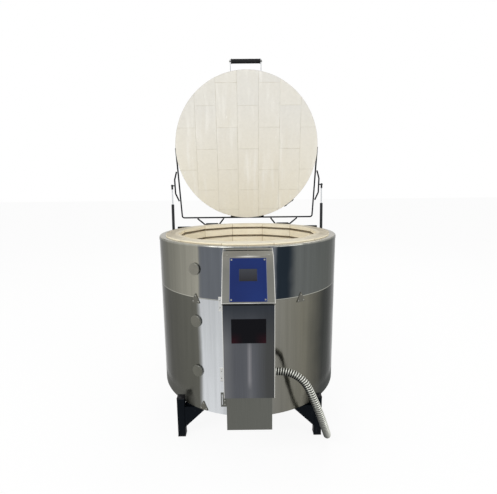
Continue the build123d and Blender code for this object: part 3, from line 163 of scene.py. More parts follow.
def makeConduit(look):
    points = list(look["route"])
    step = math.radians(look["loopTurn"]) / look["loopPoints"]
    wide = look["loopRadius"] / math.cos(step / 2)
    centreX, centreY = look["loopCentre"]
    level = points[-1][2]
    for k in range(look["loopPoints"]):
        a = (k + 0.5) * step
        points.append((centreX + wide * math.cos(a), centreY + wide * math.sin(a), level))
    last = math.radians(look["loopTurn"])
    points.append((centreX + look["loopRadius"] * math.cos(last), centreY + look["loopRadius"] * math.sin(last), level))
    line, length = evenly(splineLine(points), look["pitch"] / look["perPitch"])
    side, rise = carriedFrames(line)
    turns = np.linspace(0, 2 * math.pi, look["around"], endpoint=False)
    place = np.arange(len(line))[:, None] + turns[None, :] / (2 * math.pi) * look["perPitch"]
    depth = np.interp(place % look["perPitch"], np.arange(look["perPitch"] + 1), (*look["rib"], look["rib"][0]))
    radius = look["groove"] + (look["radius"] - look["groove"]) * depth
    rings = line[:, None] + radius[..., None] * (np.cos(turns)[None, :, None] * side[:, None]
                                                 + np.sin(turns)[None, :, None] * rise[:, None])
    hose = tubeFromRings("ribbedConduit", rings)
    raised = hose.data.attributes.new("ribHeight", "FLOAT", "POINT")
    raised.data.foreach_set("value", depth.ravel())
    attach(hose, "kiln")
    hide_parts("conduit_free", "conduit_coil")
    print("conduit made, its line is", round(length, 3), "m")
    return hose


hose = makeConduit(conduit)


# shader helpers: a wrapped socket with plain arithmetic, a node tree, and one recipe for each finish
def fitted(socket, value):
    if socket.type == "RGBA":
        return (value, value, value, 1) if isinstance(value, (int, float)) else (*value[:3], 1)
    if socket.type == "VECTOR" and isinstance(value, (int, float)):
        return (value, value, value)
    return value


class Tap:
    def __init__(self, recipe, socket):
        self.recipe = recipe
        self.socket = socket

    def calc(self, word, left, right):
        kinds = [side.socket.type for side in (left, right) if isinstance(side, Tap)]
        if "RGBA" in kinds:
            return self.recipe.blend(1.0, left, right, word)
        kind = "VectorMath" if "VECTOR" in kinds else "Math"
        return self.recipe.node(kind, {"operation": word}, {0: left, 1: right})

    def __add__(self, other):
        return self.calc("ADD", self, other)

    def __radd__(self, other):
        return self.calc("ADD", other, self)

    def __sub__(self, other):
        return self.calc("SUBTRACT", self, other)

    def __rsub__(self, other):
        return self.calc("SUBTRACT", other, self)

    def __mul__(self, other):
        return self.calc("MULTIPLY", self, other)

    def __rmul__(self, other):
        return self.calc("MULTIPLY", other, self)

    def __truediv__(self, other):
        return self.calc("DIVIDE", self, other)

    def __rtruediv__(self, other):
        return self.calc("DIVIDE", other, self)

    def __pow__(self, other):
        return self.calc("POWER", self, other)

    def __rpow__(self, other):
        return self.calc("POWER", other, self)

    def __gt__(self, other):
        return self.calc("GREATER_THAN", self, other)

    def __lt__(self, other):
        return self.calc("LESS_THAN", self, other)

    def __abs__(self):
        return self.recipe.node("Math", {"operation": "ABSOLUTE"}, {0: self})

    def whole(self):
        return self.recipe.node("Math", {"operation": "FLOOR"}, {0: self})

    def part(self):
        return self.recipe.node("Math", {"operation": "FRACT"}, {0: self})

    def least(self, other):
        return self.calc("MINIMUM", self, other)

    def most(self, other):
        return self.calc("MAXIMUM", self, other)

    def fit(self, low, high, start=0.0, end=1.0):
        return self.recipe.node("MapRange", {"clamp": True}, {0: self, 1: low, 2: high, 3: start, 4: end})

    def near(self, value, reach):
        # 1 at the value, falling to 0 a reach away
        return abs(self - value).fit(0, reach, 1, 0)


class NodeTree:
    def __init__(self, tree):
        self.tree = tree
        tree.nodes.clear()

    def node(self, kind, settings=None, inputs=None, out=0):
        made = self.tree.nodes.new("ShaderNode" + kind)
        for name, value in (settings or {}).items():
            if name == "stops":
                ramp = made.color_ramp
                ramp.elements.remove(ramp.elements[-1])
                ramp.elements[0].position = value[0][0]
                ramp.elements[0].color = (*value[0][1], 1)
                for position, colour in value[1:]:
                    ramp.elements.new(position).color = (*colour, 1)
            else:
                setattr(made, name, value)
        for name, value in (inputs or {}).items():
            if isinstance(value, Tap):
                self.tree.links.new(value.socket, made.inputs[name])
            else:
                made.inputs[name].default_value = fitted(made.inputs[name], value)
        if isinstance(out, tuple):
            return [Tap(self, made.outputs[k]) for k in out]
        return Tap(self, made.outputs[out])

    def blend(self, factor, first, second, word="MIX"):
        return self.node("Mix", {"data_type": "RGBA", "blend_type": word}, {0: factor, 6: first, 7: second}, out=2)

    def close(self, shader, kind="OutputMaterial"):
        end = self.tree.nodes.new("ShaderNode" + kind)
        self.tree.links.new(shader.socket, end.inputs["Surface"])


class Recipe(NodeTree):
    def __init__(self, name):
        self.material = bpy.data.materials.new(name)
        self.material.use_nodes = True
        super().__init__(self.material.node_tree)
        self.place = self.node("TexCoord", out="Object")
        self.x, self.y, self.z = self.split(self.place)

    def split(self, vector):
        return self.node("SeparateXYZ", inputs={0: vector}, out=(0, 1, 2))

    def facing(self):
        # the x, y and z shares of the way that a face looks
        return self.split(self.node("TexCoord", out="Normal"))

    def stretched(self, stretch, vector):
        base = self.place if vector is None else vector
        return base * stretch if stretch else base

    def noise(self, scale, stretch=None, detail=3, vector=None):
        return self.node("TexNoise", None,
                         {"Vector": self.stretched(stretch, vector), "Scale": scale, "Detail": detail})

    def cells(self, scale):
        return self.node("TexVoronoi", None, {"Vector": self.place, "Scale": scale})

    def joined(self, x, y, z=0.0):
        return self.node("CombineXYZ", None, {0: x, 1: y, 2: z})

    def chance(self, x, y):
        # one steady random value for each whole x and y
        return self.node("TexWhiteNoise", None, {"Vector": self.joined(x.whole(), y.whole())})

    def azimuth(self):
        # 0 at the front, growing towards the right side
        return self.node("Math", {"operation": "ARCTAN2"}, {0: self.x, 1: self.y * -1})

    def reach(self):
        return (self.x * self.x + self.y * self.y) ** 0.5

    def bump(self, height, distance, strength=1.0):
        return self.node("Bump", None, {"Height": height, "Distance": distance, "Strength": strength})

    def surface(self, colour, rough, metal=0.0, normal=None, **fixed):
        inputs = {"Base Color": colour, "Roughness": rough, "Metallic": metal}
        inputs.update({name.replace("_", " "): value for name, value in fixed.items()})
        if normal is not None:
            inputs["Normal"] = normal
        self.close(self.node("BsdfPrincipled", None, inputs))
        return self.material


# polished body sheet: painted reflections as broad tones by azimuth in degrees, above and below the seam, a painted
# highlight on the seam's fold and on the cap's brim, and a painted reflection on the cap's lip; heights in metres
mirrorSheet = {
    "radius": 0.445, "seam": 0.668, "rough": 0.12, "edgeTint": 0.6,
    "above": [(-140, (150, 152, 150)), (-62, (104, 104, 96)), (-28, (150, 148, 137)), (-26.5, (106, 110, 116)),
              (14.5, (106, 110, 116)), (15.5, (34, 42, 50)), (22, (34, 42, 50)), (27, (96, 99, 98)),
              (70, (86, 89, 84)), (120, (140, 141, 138))],
    "below": [(-140, (140, 142, 140)), (-62, (80, 80, 75)), (-28.5, (96, 96, 89)), (-27.2, (200, 203, 206)),
              (-15, (200, 203, 206)), (14, (124, 123, 116)), (32, (116, 114, 103)), (50, (56, 58, 56)),
              (70, (62, 66, 62)), (120, (128, 129, 126))],
    "foldHighlight": (194, 193, 183), "foldLevel": 0.6698, "foldReach": 0.0022,
    "lipReflection": (172, 171, 162), "lipLevels": (0.8885, 0.8935),
    "brimHighlight": (220, 214, 198), "brimLevels": (0.8955, 0.8968),
    "handledLevels": (0.19, 0.24), "heights": (0.15, 0.66),
    "reflectionStart": (-0.49, -0.46), "reflectionEnd": (-0.27, -0.24), "rightStart": (0.25, 0.33),
}


def mirrorSteel(look):
    r = Recipe("mirrorSteel")
    azimuth = r.azimuth()
    roll = r.joined(azimuth * look["radius"], r.z)
    wave = r.noise(2.6, (1, 0.7, 1), 2, roll) - 0.5
    sway = r.noise(11, (1, 0.8, 1), 2, roll) - 0.5
    ripple = r.noise(14, (1, 0.16, 1), 3, roll) - 0.5
    rightSide = azimuth.fit(*look["rightStart"])
    turned = azimuth + wave * (rightSide * 0.1 + 0.04) + sway * (rightSide * 0.06 + 0.02) + ripple * 0.03

    # painted reflections: broad tones laid on the sheet by azimuth, their edges made wavy
    def reflectionBands(stops):
        placed = [(angle / 360 + 0.5, tone(colour)) for angle, colour in stops]
        return r.node("ValToRGB", {"stops": placed}, {0: turned / (2 * math.pi) + 0.5})

    upper = r.z.fit(look["seam"] - 0.001, look["seam"] + 0.001)
    colour = r.blend(upper, reflectionBands(look["below"]), reflectionBands(look["above"]))
    # painted reflection: the sheet darkens towards the bottom, but in one window of azimuth it is lighter low down and
    # darker up high
    bright = azimuth.fit(*look["reflectionStart"]) * azimuth.fit(*look["reflectionEnd"], 1, 0)
    streak = r.noise(46, (1, 0.03, 1), 4, roll)
    fine = r.noise(260, (1, 0.02, 1), 2, roll)
    colour = colour * (streak.fit(0.25, 0.75, 0.9, 1.09) * fine.fit(0.2, 0.8, 0.96, 1.04))
    colour = colour * r.z.fit(*look["heights"], bright.fit(0, 1, 0.9, 1.1), bright.fit(0, 1, 1.0, 0.86))
    # painted highlight along the seam's fold
    foldHighlight = r.z.near(look["foldLevel"], look["foldReach"])
    colour = r.blend(foldHighlight * 0.85, colour, tone(look["foldHighlight"]))
    # painted reflection on the cap's rounded lip
    colour = r.blend(r.z.fit(*look["lipLevels"]) * streak.fit(0.3, 0.7, 0.5, 0.9), colour, tone(look["lipReflection"]))
    # painted highlight along the cap's top edge
    colour = r.blend(r.z.fit(*look["brimLevels"]) * 0.85, colour, tone(look["brimHighlight"]))
    smudge = r.noise(9, detail=5)
    low = r.z.fit(*look["handledLevels"], 1, 0) * abs(azimuth).fit(0.5, 0.6)
    rough = smudge.fit(0.35, 0.75, look["rough"], look["rough"] + 0.12).most(low * 0.5)
    normal = r.bump(wave + ripple * 0.25, 0.012, 0.5)
    return r.surface(colour, rough, 1 - low * 0.3, normal, Specular_Tint=(look["edgeTint"],) * 3)


def brushedSteel(name, shade, rough, around=False, contrast=0.1):
    r = Recipe(name)
    if around:
        grain = r.noise(300, vector=r.joined(r.azimuth() * 0.03, r.z, r.reach()))
    else:
        grain = r.noise(420, (1, 1, 0.02))
    patch = r.noise(11, detail=4)
    colour = r.blend(1.0, tone(shade), grain.fit(0.25, 0.75, 1 - contrast, 1 + contrast), "MULTIPLY")
    colour = colour * patch.fit(0.3, 0.7, 0.92, 1.06)
    return r.surface(colour, patch.fit(0.3, 0.75, rough, rough + 0.14), 1.0, r.bump(grain, 0.0002, 0.5))


# firebrick of the chamber: three rings of twelve
brickLook = {
    "wall": (250, 242, 220), "warm": (240, 226, 194), "stain": (230, 213, 176), "joint": (184, 166, 134),
    "pit": (200, 182, 146), "top": (196, 187, 168), "dusty": (168, 160, 143), "inner": (222, 212, 190),
    "sides": (238, 231, 211), "corner": 30, "base": 0.2165, "height": 0.2286, "topFrom": 0.9,
    "jointReach": 0.36, "innerEdge": (0.362, 0.372),
}


def wallBrick(look):
    r = Recipe("wallBrick")
    corner = math.radians(look["corner"])
    column = r.azimuth() / corner + 0.5
    ring = (r.z - look["base"]) / look["height"]
    tint = r.chance(column, ring)
    colour = r.blend(tint.fit(0, 1, 0, 0.35), tone(look["wall"]), tone(look["warm"]))
    stain = r.noise(7, (1, 1, 1.6), 5)
    colour = r.blend(stain.fit(0.5, 0.8, 0, 0.3), colour, tone(look["stain"]))
    part = column.part()
    beside = part.least(1 - part) * (corner * look["jointReach"])
    joint = beside.fit(0.0006, 0.0024, 0.75, 0)
    colour = r.blend(joint, colour, tone(look["joint"]))
    pits = r.cells(640).fit(0.16, 0.3, 1, 0) * r.noise(90, detail=2).fit(0.45, 0.6)
    colour = r.blend(pits * 0.55, colour, tone(look["pit"]))
    topFace = (r.facing()[2] > 0.8) * (r.z > look["topFrom"])
    dusty = r.noise(26, detail=5)
    topTone = r.blend(dusty.fit(0.35, 0.7), tone(look["top"]), tone(look["dusty"]))
    inner = r.reach().fit(*look["innerEdge"], 1, 0)
    topTone = r.blend(inner * 0.6, topTone, tone(look["inner"]))
    topTone = r.blend(abs(r.y).fit(0.12, 0.4, 0, 0.75), topTone, tone(look["sides"]))
    colour = r.blend(topFace, colour, topTone)
    grain = r.noise(900, detail=2)
    return r.surface(colour, grain.fit(0.2, 0.8, 0.82, 0.98), 0.0,
                     r.bump(grain * 0.4 - pits * 0.9, 0.0006, 0.8), Specular_IOR_Level=0.2)


# staggered bricks of the lid, laid out in the lid's own plane; sizes in metres, lean in degrees
lidLook = {
    "face": (215, 213, 207), "joint": (188, 178, 156), "smear": (238, 236, 230), "warm": (232, 225, 206),
    "dull": (206, 198, 178), "pit": (184, 168, 138), "width": 0.129, "length": 0.253, "first": 0.054,
    "stagger": 0.008, "lean": 83.3, "hingeLevel": 0.887, "hingeBack": 0.485, "centre": 0.485,
}


def lidBrick(look):
    r = Recipe("lidBrick")
    lean = math.radians(look["lean"])
    up, back = r.z - look["hingeLevel"], r.y - look["hingeBack"]
    along = up * math.sin(lean) - back * math.cos(lean) - look["centre"]
    column = (r.x + look["first"]) / look["width"]
    odd = (column.whole() * 0.5).part() * 2
    row = (along + look["stagger"] + odd * (look["length"] / 2)) / look["length"]
    acrossPart, alongPart = column.part(), row.part()
    gap = (acrossPart.least(1 - acrossPart) * look["width"]).least(alongPart.least(1 - alongPart) * look["length"])
    tint = r.chance(column, row)
    flat = r.joined(r.x, along)
    colour = r.blend(tint.fit(0, 1, 0, 0.2), tone(look["face"]), tone(look["warm"]))
    # painted light: towards its lower edge the lid turns to the paler warm tone, lifting the shade that falls there
    colour = r.blend(along.fit(-0.44, 0.25, 0.85, 0), colour, tone(look["warm"]))
    smear = r.noise(26, (1, 0.13, 1), 5, flat)
    wide = r.noise(7, (1, 0.4, 1), 3, flat)
    wet = smear.fit(0.5, 0.72) * wide.fit(0.4, 0.65)
    colour = r.blend(wet * 0.7, colour, tone(look["smear"]))
    dull = (1 - smear).fit(0.52, 0.75) * wide.fit(0.45, 0.7)
    colour = r.blend(dull * 0.3, colour, tone(look["dull"]))
    fleck = r.noise(70, (1, 0.35, 1), 3, flat).fit(0.68, 0.74) * wide.fit(0.35, 0.6)
    colour = r.blend(fleck * 0.7, colour, tone(look["smear"]))
    colour = colour * r.noise(60, detail=6).fit(0.25, 0.75, 0.975, 1.02)
    broken = r.noise(11, detail=4, vector=flat).fit(0.4, 0.62, 0.15, 1)
    joint = gap.fit(0.0004, 0.002, 0.55, 0) * broken
    colour = r.blend(joint, colour, tone(look["joint"]))
    pits = r.cells(560).fit(0.14, 0.28, 1, 0) * r.noise(70, detail=2).fit(0.5, 0.62)
    colour = r.blend(pits * 0.45, colour, tone(look["pit"]))
    grain = r.noise(800, detail=2)
    return r.surface(colour, (wet * -0.35) + 0.88, 0.0,
                     r.bump(grain * 0.3 - pits * 0.8 - joint * 0.3 + smear * 0.5, 0.0006, 0.7),
                     Specular_IOR_Level=0.25)


fibreLook = {"tuft": (238, 235, 228), "hollow": (214, 209, 198), "sheen": 0.25}


def fibre(look):
    r = Recipe("ceramicFibre")
    strands = r.noise(520, (1, 1, 0.25), 5)
    tufts = r.noise(40, detail=4)
    colour = r.blend(tufts, tone(look["tuft"]), tone(look["hollow"]))
    return r.surface(colour * strands.fit(0.2, 0.8, 0.86, 1.05), 0.96, 0.0, r.bump(strands + tufts, 0.0012, 0.9),
                     Sheen_Weight=look["sheen"])


wireLook = {"scaled": (104, 86, 68), "bare": (146, 122, 94), "metal": 0.55}


def elementWire(look):
    r = Recipe("elementWire")
    scale = r.noise(300, detail=4)
    colour = r.blend(scale, tone(look["scaled"]), tone(look["bare"]))
    return r.surface(colour, scale.fit(0.2, 0.8, 0.5, 0.75), look["metal"], r.bump(scale, 0.0003, 0.6))


porcelainLook = {"pale": (236, 230, 216), "cream": (220, 211, 192), "glaze": 0.4}


def porcelain(look):
    r = Recipe("porcelain")
    cloud = r.noise(60)
    colour = r.blend(cloud.fit(0.3, 0.7), tone(look["pale"]), tone(look["cream"]))
    return r.surface(colour, cloud.fit(0.3, 0.7, 0.22, 0.4), 0.0, r.bump(cloud, 0.0002, 0.4),
                     Coat_Weight=look["glaze"])


brassLook = {"clean": (196, 162, 92), "dark": (150, 116, 64)}


def brass(look):
    r = Recipe("brass")
    worn = r.noise(160, detail=4)
    colour = r.blend(worn.fit(0.35, 0.7), tone(look["clean"]), tone(look["dark"]))
    return r.surface(colour, worn.fit(0.3, 0.7, 0.25, 0.42), 1.0, r.bump(worn, 0.0001, 0.5))


blackLook = {"paint": (6, 11, 17), "faded": (12, 17, 23), "worn": (40, 44, 48), "dust": (34, 34, 35), "shine": 0.05}


def blackSteel(look):
    r = Recipe("blackSteel")
    peel = r.noise(420, detail=2)
    patch = r.noise(14, detail=5)
    colour = r.blend(patch.fit(0.35, 0.75), tone(look["paint"]), tone(look["faded"]))
    scuff = r.noise(120, (1, 1, 0.2), 5).fit(0.66, 0.72)
    colour = r.blend(scuff * 0.35, colour, tone(look["worn"]))
    low = r.z.fit(0.0, 0.05, 0.35, 0) * r.noise(50, detail=4).fit(0.4, 0.7)
    colour = r.blend(low, colour, tone(look["dust"]))
    return r.surface(colour, patch.fit(0.3, 0.7, 0.4, 0.56), 0.0, r.bump(peel, 0.0003, 0.45),
                     Specular_IOR_Level=look["shine"])


# control box: tones of its faces, with painted reflections, painted shade and painted highlights on the cover, and the
# heights and widths in metres where they change
boxLook = {
    "cover": (88, 90, 95), "left": (116, 117, 119), "right": (68, 69, 68), "glow": (120, 121, 124),
    "threadHighlight": (166, 164, 168), "under": (52, 56, 62), "face": (115, 115, 110), "lower": (98, 99, 94),
    "litRoof": (146, 143, 134), "flank": (126, 127, 124), "edge": (232, 231, 226),
    "slope": (0.70, 0.716), "coverFoot": (0.3265, 0.3285), "roofRise": (0.82, 0.89), "shade": (0.54, 0.69),
    "leftFade": (-0.098, -0.055), "rightFade": (0.02, 0.07), "centreReflectionAt": 0.004, "threadHighlightAt": 0.002,
    "edgeWidth": (0.0955, 0.0965), "bendLevel": 0.7133, "topLevel": 0.8683, "bendReach": 0.003,
}


def boxSteel(look):
    r = Recipe("boxSteel")
    grain = r.noise(520, (1, 1, 0.015))
    cloud = r.noise(5, (1, 1, 0.5))
    # painted reflection: the cover lighter at the left and darker at the right
    cover = r.blend(r.x.fit(*look["leftFade"], 0.9, 0), tone(look["cover"]), tone(look["left"]))
    cover = r.blend(r.x.fit(*look["rightFade"], 0, 0.9), cover, tone(look["right"]))
    # painted reflection down the middle of the cover, and a thin painted highlight beside it
    wide = r.x.near(look["centreReflectionAt"], 0.036)
    cover = r.blend(wide * wide * r.z.fit(0.34, 0.56, 0.35, 0.12), cover, tone(look["glow"]))
    threadHighlight = r.x.near(look["threadHighlightAt"], 0.011) * r.z.fit(0.36, 0.4) * r.z.fit(0.52, 0.6, 1, 0)
    cover = r.blend(threadHighlight * 0.4, cover, tone(look["threadHighlight"]))
    # painted shade: the cover darkens just under the ridge of the sloped face
    cover = r.blend(r.z.fit(*look["shade"], 0, 0.95), cover, tone(look["under"]))
    colour = r.blend(r.z.fit(*look["slope"]), cover, tone(look["face"]))
    colour = r.blend(r.z.fit(*look["coverFoot"], 1, 0), colour, tone(look["lower"]))
    # painted light: the roof turns lighter towards its top
    colour = r.blend(r.z.fit(*look["roofRise"], 0, 0.6), colour, tone(look["litRoof"]))
    sideways = abs(r.facing()[0]).fit(0.3, 0.6)
    colour = r.blend(sideways * 0.8, colour, tone(look["flank"]))
    # painted highlights along the folded side edges of the cover
    edge = abs(r.x).fit(*look["edgeWidth"]) * (r.z > 0.3275) * (1 - sideways)
    colour = r.blend(edge * 0.85, colour, tone(look["edge"]))
    # painted highlights along the ridge at the foot of the sloped face and the one at its top, strongest in the middle
    middle = r.x.near(0, 0.05)
    bendHighlight = r.z.near(look["bendLevel"], look["bendReach"]) * (middle * 0.45 + 0.5)
    colour = r.blend(bendHighlight, colour, tone(look["edge"]))
    colour = r.blend(r.z.near(look["topLevel"], look["bendReach"]) * middle * 0.9, colour, tone(look["edge"]))
    colour = colour * (grain.fit(0.25, 0.75, 0.93, 1.07) * cloud.fit(0.3, 0.7, 0.95, 1.04))
    return r.surface(colour, cloud.fit(0.3, 0.7, 0.3, 0.42), 1.0, r.bump(grain, 0.0002, 0.4))


panelLook = {"blue": (17, 39, 96), "deep": (12, 31, 84), "edge": (150, 156, 178), "edgeWidth": (0.0683, 0.0689)}


def panelBlue(look):
    r = Recipe("panelBlue")
    grain = r.noise(900, detail=2)
    sweep = r.noise(6, detail=2)
    colour = r.blend(sweep.fit(0.3, 0.7), tone(look["blue"]), tone(look["deep"]))
    # painted highlight along the plate's left and right edges
    colour = r.blend(abs(r.x).fit(*look["edgeWidth"]) * 0.7, colour, tone(look["edge"]))
    return r.surface(colour, grain.fit(0.2, 0.8, 0.4, 0.5), 0.0, r.bump(grain, 0.0001, 0.4),
                     Specular_IOR_Level=0.15)


screenLook = {"low": (28, 28, 33), "high": (50, 53, 60), "band": (20, 21, 25), "levels": (0.785, 0.827)}


def screenGlass(look):
    r = Recipe("screenGlass")
    band = r.noise(9, (1, 1, 2.2), 2)
    # painted reflection: the glass turns lighter towards the top, crossed by darker bands
    colour = r.blend(r.z.fit(*look["levels"]), tone(look["low"]), tone(look["high"]))
    colour = r.blend(band.fit(0.52, 0.6, 0, 0.6), colour, tone(look["band"]))
    return r.surface(colour, band.fit(0.2, 0.8, 0.1, 0.18), 0.0, Specular_IOR_Level=0.2, Coat_Weight=0.12,
                     Coat_Roughness=0.04)


# the board leans with the sloped face: its middle, and the share of y and z in its depth
boardLook = {
    "lacquer": (26, 92, 56), "trace": (48, 124, 78), "solder": (196, 186, 130), "parts": (34, 35, 38),
    "middle": (-0.5575, 0.7908), "slope": (-0.8625, 0.5064), "partsDepth": -0.0119,
}


def circuitBoard(look):
    r = Recipe("circuitBoard")
    depth = (r.y - look["middle"][0]) * look["slope"][0] + (r.z - look["middle"][1]) * look["slope"][1]
    traces = r.noise(240, (1, 0.3, 0.3), 2)
    green = r.blend((traces > 0.56), tone(look["lacquer"]), tone(look["trace"]))
    dots = r.cells(420).fit(0.1, 0.16, 1, 0)
    green = r.blend(dots * 0.7, green, tone(look["solder"]))
    colour = r.blend(depth < look["partsDepth"], green, tone(look["parts"]))
    return r.surface(colour, traces.fit(0.3, 0.7, 0.35, 0.5), 0.0, r.bump(traces, 0.0002, 0.5))


plasticLook = {"black": (22, 22, 25), "dust": (48, 47, 46)}


def blackPlastic(look):
    r = Recipe("blackPlastic")
    grain = r.noise(1100, detail=2)
    dust = r.noise(30, detail=5)
    colour = r.blend(dust.fit(0.5, 0.8, 0, 0.5), tone(look["black"]), tone(look["dust"]))
    return r.surface(colour, dust.fit(0.3, 0.7, 0.42, 0.58), 0.0, r.bump(grain, 0.0002, 0.5),
                     Specular_IOR_Level=0.25)


# relays and transformer stand on the box's back plate; depths are measured out from it
relayLook = {"plate": 0.459, "case": (34, 35, 38), "cap": (196, 198, 198), "capDepth": (0.0255, 0.0262),
             "lowest": 0.56, "spacing": 0.0717}


def relayCase(look):
    r = Recipe("relayCase")
    out = r.y * -1 - look["plate"]
    grain = r.noise(900, detail=2)
    row = ((r.z - look["lowest"]) / look["spacing"]).part()
    colour = r.blend(out.fit(*look["capDepth"]), tone(look["case"]), tone(look["cap"]))
    return r.surface(colour * grain.fit(0.2, 0.8, 0.9, 1.08), row.fit(0, 1, 0.35, 0.42), 0.0,
                     r.bump(grain, 0.0002, 0.5))


transformerLook = {"plate": 0.459, "iron": (150, 150, 148), "winding": (190, 132, 44), "sheetsPerMetre": 1400,
                   "level": 0.64, "coreHalf": (0.0203, 0.0207), "foot": 0.0045}


def transformerIron(look):
    r = Recipe("transformerIron")
    out = r.y * -1 - look["plate"]
    sheets = (out * look["sheetsPerMetre"]).part().fit(0.3, 0.7, 0.75, 1.05)
    ends = abs(r.z - look["level"]).fit(*look["coreHalf"])
    colour = r.blend(1.0, tone(look["iron"]), sheets, "MULTIPLY")
    colour = r.blend(ends * (out > look["foot"]), colour, tone(look["winding"]))
    return r.surface(colour, sheets.fit(0.75, 1.05, 0.55, 0.4), 0.4, r.bump(sheets, 0.0003, 0.6))


rubberLook = {"rubber": (26, 27, 28), "dust": (56, 55, 54), "rough": (0.64, 0.78)}


def rubberBlack(look):
    r = Recipe("rubberBlack")
    grain = r.noise(700)
    dust = r.noise(40, detail=5)
    colour = r.blend(dust.fit(0.5, 0.8, 0, 0.3), tone(look["rubber"]), tone(look["dust"]))
    return r.surface(colour, grain.fit(0.2, 0.8, *look["rough"]), 0.0, r.bump(grain, 0.0003, 0.7),
                     Specular_IOR_Level=0.2)


glossLook = {"deep": (14, 16, 19), "light": (24, 27, 31)}


def glossBlack(look):
    r = Recipe("glossBlack")
    peel = r.noise(260, detail=2)
    colour = r.blend(peel.fit(0.3, 0.7), tone(look["deep"]), tone(look["light"]))
    return r.surface(colour, peel.fit(0.2, 0.8, 0.24, 0.34), 0.0, r.bump(peel, 0.0001, 0.4),
                     Specular_IOR_Level=0.3, Coat_Weight=0.08)


conduitLook = {"under": (58, 60, 58), "over": (226, 227, 218), "worn": (132, 133, 126), "groove": (34, 36, 35)}


def conduitMetal(look):
    r = Recipe("conduitMetal")
    raised = r.node("Attribute", {"attribute_name": "ribHeight"}, out=2)
    facing = r.facing()
    worn = r.noise(90, detail=5)
    fine = r.noise(600)
    # painted shade and highlight: dark where the hose faces down, bright where it faces up and to the right
    colour = r.blend((facing[2] + facing[0] * 0.8).fit(-0.5, 0.85), tone(look["under"]), tone(look["over"]))
    colour = r.blend(worn.fit(0.3, 0.7, 0, 0.2), colour, tone(look["worn"]))
    # painted shade in the grooves between the ribs
    colour = r.blend(raised.fit(0.1, 0.85, 0.95, 0), colour, tone(look["groove"]))
    return r.surface(colour * fine.fit(0.2, 0.8, 0.9, 1.08), worn.fit(0.3, 0.7, 0.3, 0.46), 1.0,
                     r.bump(fine, 0.0001, 0.5))


# peephole plugs: a plate that faces the way of "out", with a painted reflection that makes it lighter with height, on a
# duller stem
plugLook = {"low": (100, 100, 92), "high": (130, 128, 119), "cloud": (96, 96, 90), "stem": (126, 127, 122),
            "levels": (0.5, 0.75), "out": (-0.5, -0.866)}


def plugFace(look):
    r = Recipe("plugFace")
    side = r.facing()
    outward = side[0] * look["out"][0] + side[1] * look["out"][1]
    cloud = r.noise(30, detail=4)
    # painted reflection: the plates are lighter the higher they sit
    colour = r.blend(r.z.fit(*look["levels"]), tone(look["low"]), tone(look["high"]))
    colour = r.blend(cloud.fit(0.3, 0.7, 0, 0.2), colour, tone(look["cloud"]))
    colour = r.blend(outward.fit(0.35, 0.85, 0.9, 0), colour, tone(look["stem"]))
    return r.surface(colour, cloud.fit(0.3, 0.7, 0.3, 0.42), outward.fit(0.35, 0.85, 0.1, 0.85),
                     r.bump(cloud, 0.0003, 0.4))


# polished rod; its ball socket and stud, above the level, are black
rodLook = {"rod": (200, 202, 204), "socket": (16, 18, 20), "levels": (1.1155, 1.1165)}


def strutRod(look):
    r = Recipe("strutRod")
    fine = r.noise(420, (1, 1, 0.02))
    colour = r.blend(r.z.fit(*look["levels"]), tone(look["rod"]), tone(look["socket"]))
    return r.surface(colour * fine.fit(0.2, 0.8, 0.95, 1.04), fine.fit(0.2, 0.8, 0.12, 0.24),
                     r.z.fit(*look["levels"], 1.0, 0.0), r.bump(fine, 0.0001, 0.4), Specular_IOR_Level=0.25)


# light legs, darker feet against the band
handleLook = {"legs": (122, 125, 128), "feet": (44, 46, 46), "feetFrom": (0.0928, 0.0936)}


def handleSteel(look):
    r = Recipe("handleSteel")
    grain = r.noise(420, (1, 1, 0.05))
    colour = r.blend(abs(r.x).fit(*look["feetFrom"]), tone(look["legs"]), tone(look["feet"]))
    return r.surface(colour * grain.fit(0.2, 0.8, 0.92, 1.06), grain.fit(0.2, 0.8, 0.26, 0.4), 1.0,
                     r.bump(grain, 0.0002, 0.5))


sleeveLook = {"shade": (150, 118, 58), "strand": (214, 186, 124), "weave": 420, "uneven": 0.6}


def braidedSleeve(look):
    r = Recipe("braidedSleeve")

    def strands(stretch):
        return r.node("TexWave", {"bands_direction": "DIAGONAL"},
                      {"Vector": r.place * stretch, "Scale": look["weave"], "Distortion": look["uneven"]}, out=1)

    weave = strands((1, 1, 1)).most(strands((-1, 1, 1)))
    colour = r.blend(weave, tone(look["shade"]), tone(look["strand"]))
    return r.surface(colour, weave.fit(0, 1, 0.8, 0.62), 0.0, r.bump(weave, 0.0004, 0.8))


labelLook = {"plate": (8, 8, 13), "red": (46, 8, 18), "levels": (0.552, 0.6), "widths": (0.02, 0.066)}


def labelBlack(look):
    r = Recipe("labelBlack")
    low = r.z.fit(*look["levels"], 1, 0) * abs(r.x).fit(*look["widths"])
    haze = r.noise(30, detail=4)
    colour = r.blend(low * haze.fit(0.3, 0.7, 0.4, 0.9), tone(look["plate"]), tone(look["red"]))
    return r.surface(colour, haze.fit(0.3, 0.7, 0.3, 0.42), 0.0, r.bump(haze, 0.0002, 0.3),
                     Specular_IOR_Level=0.07)


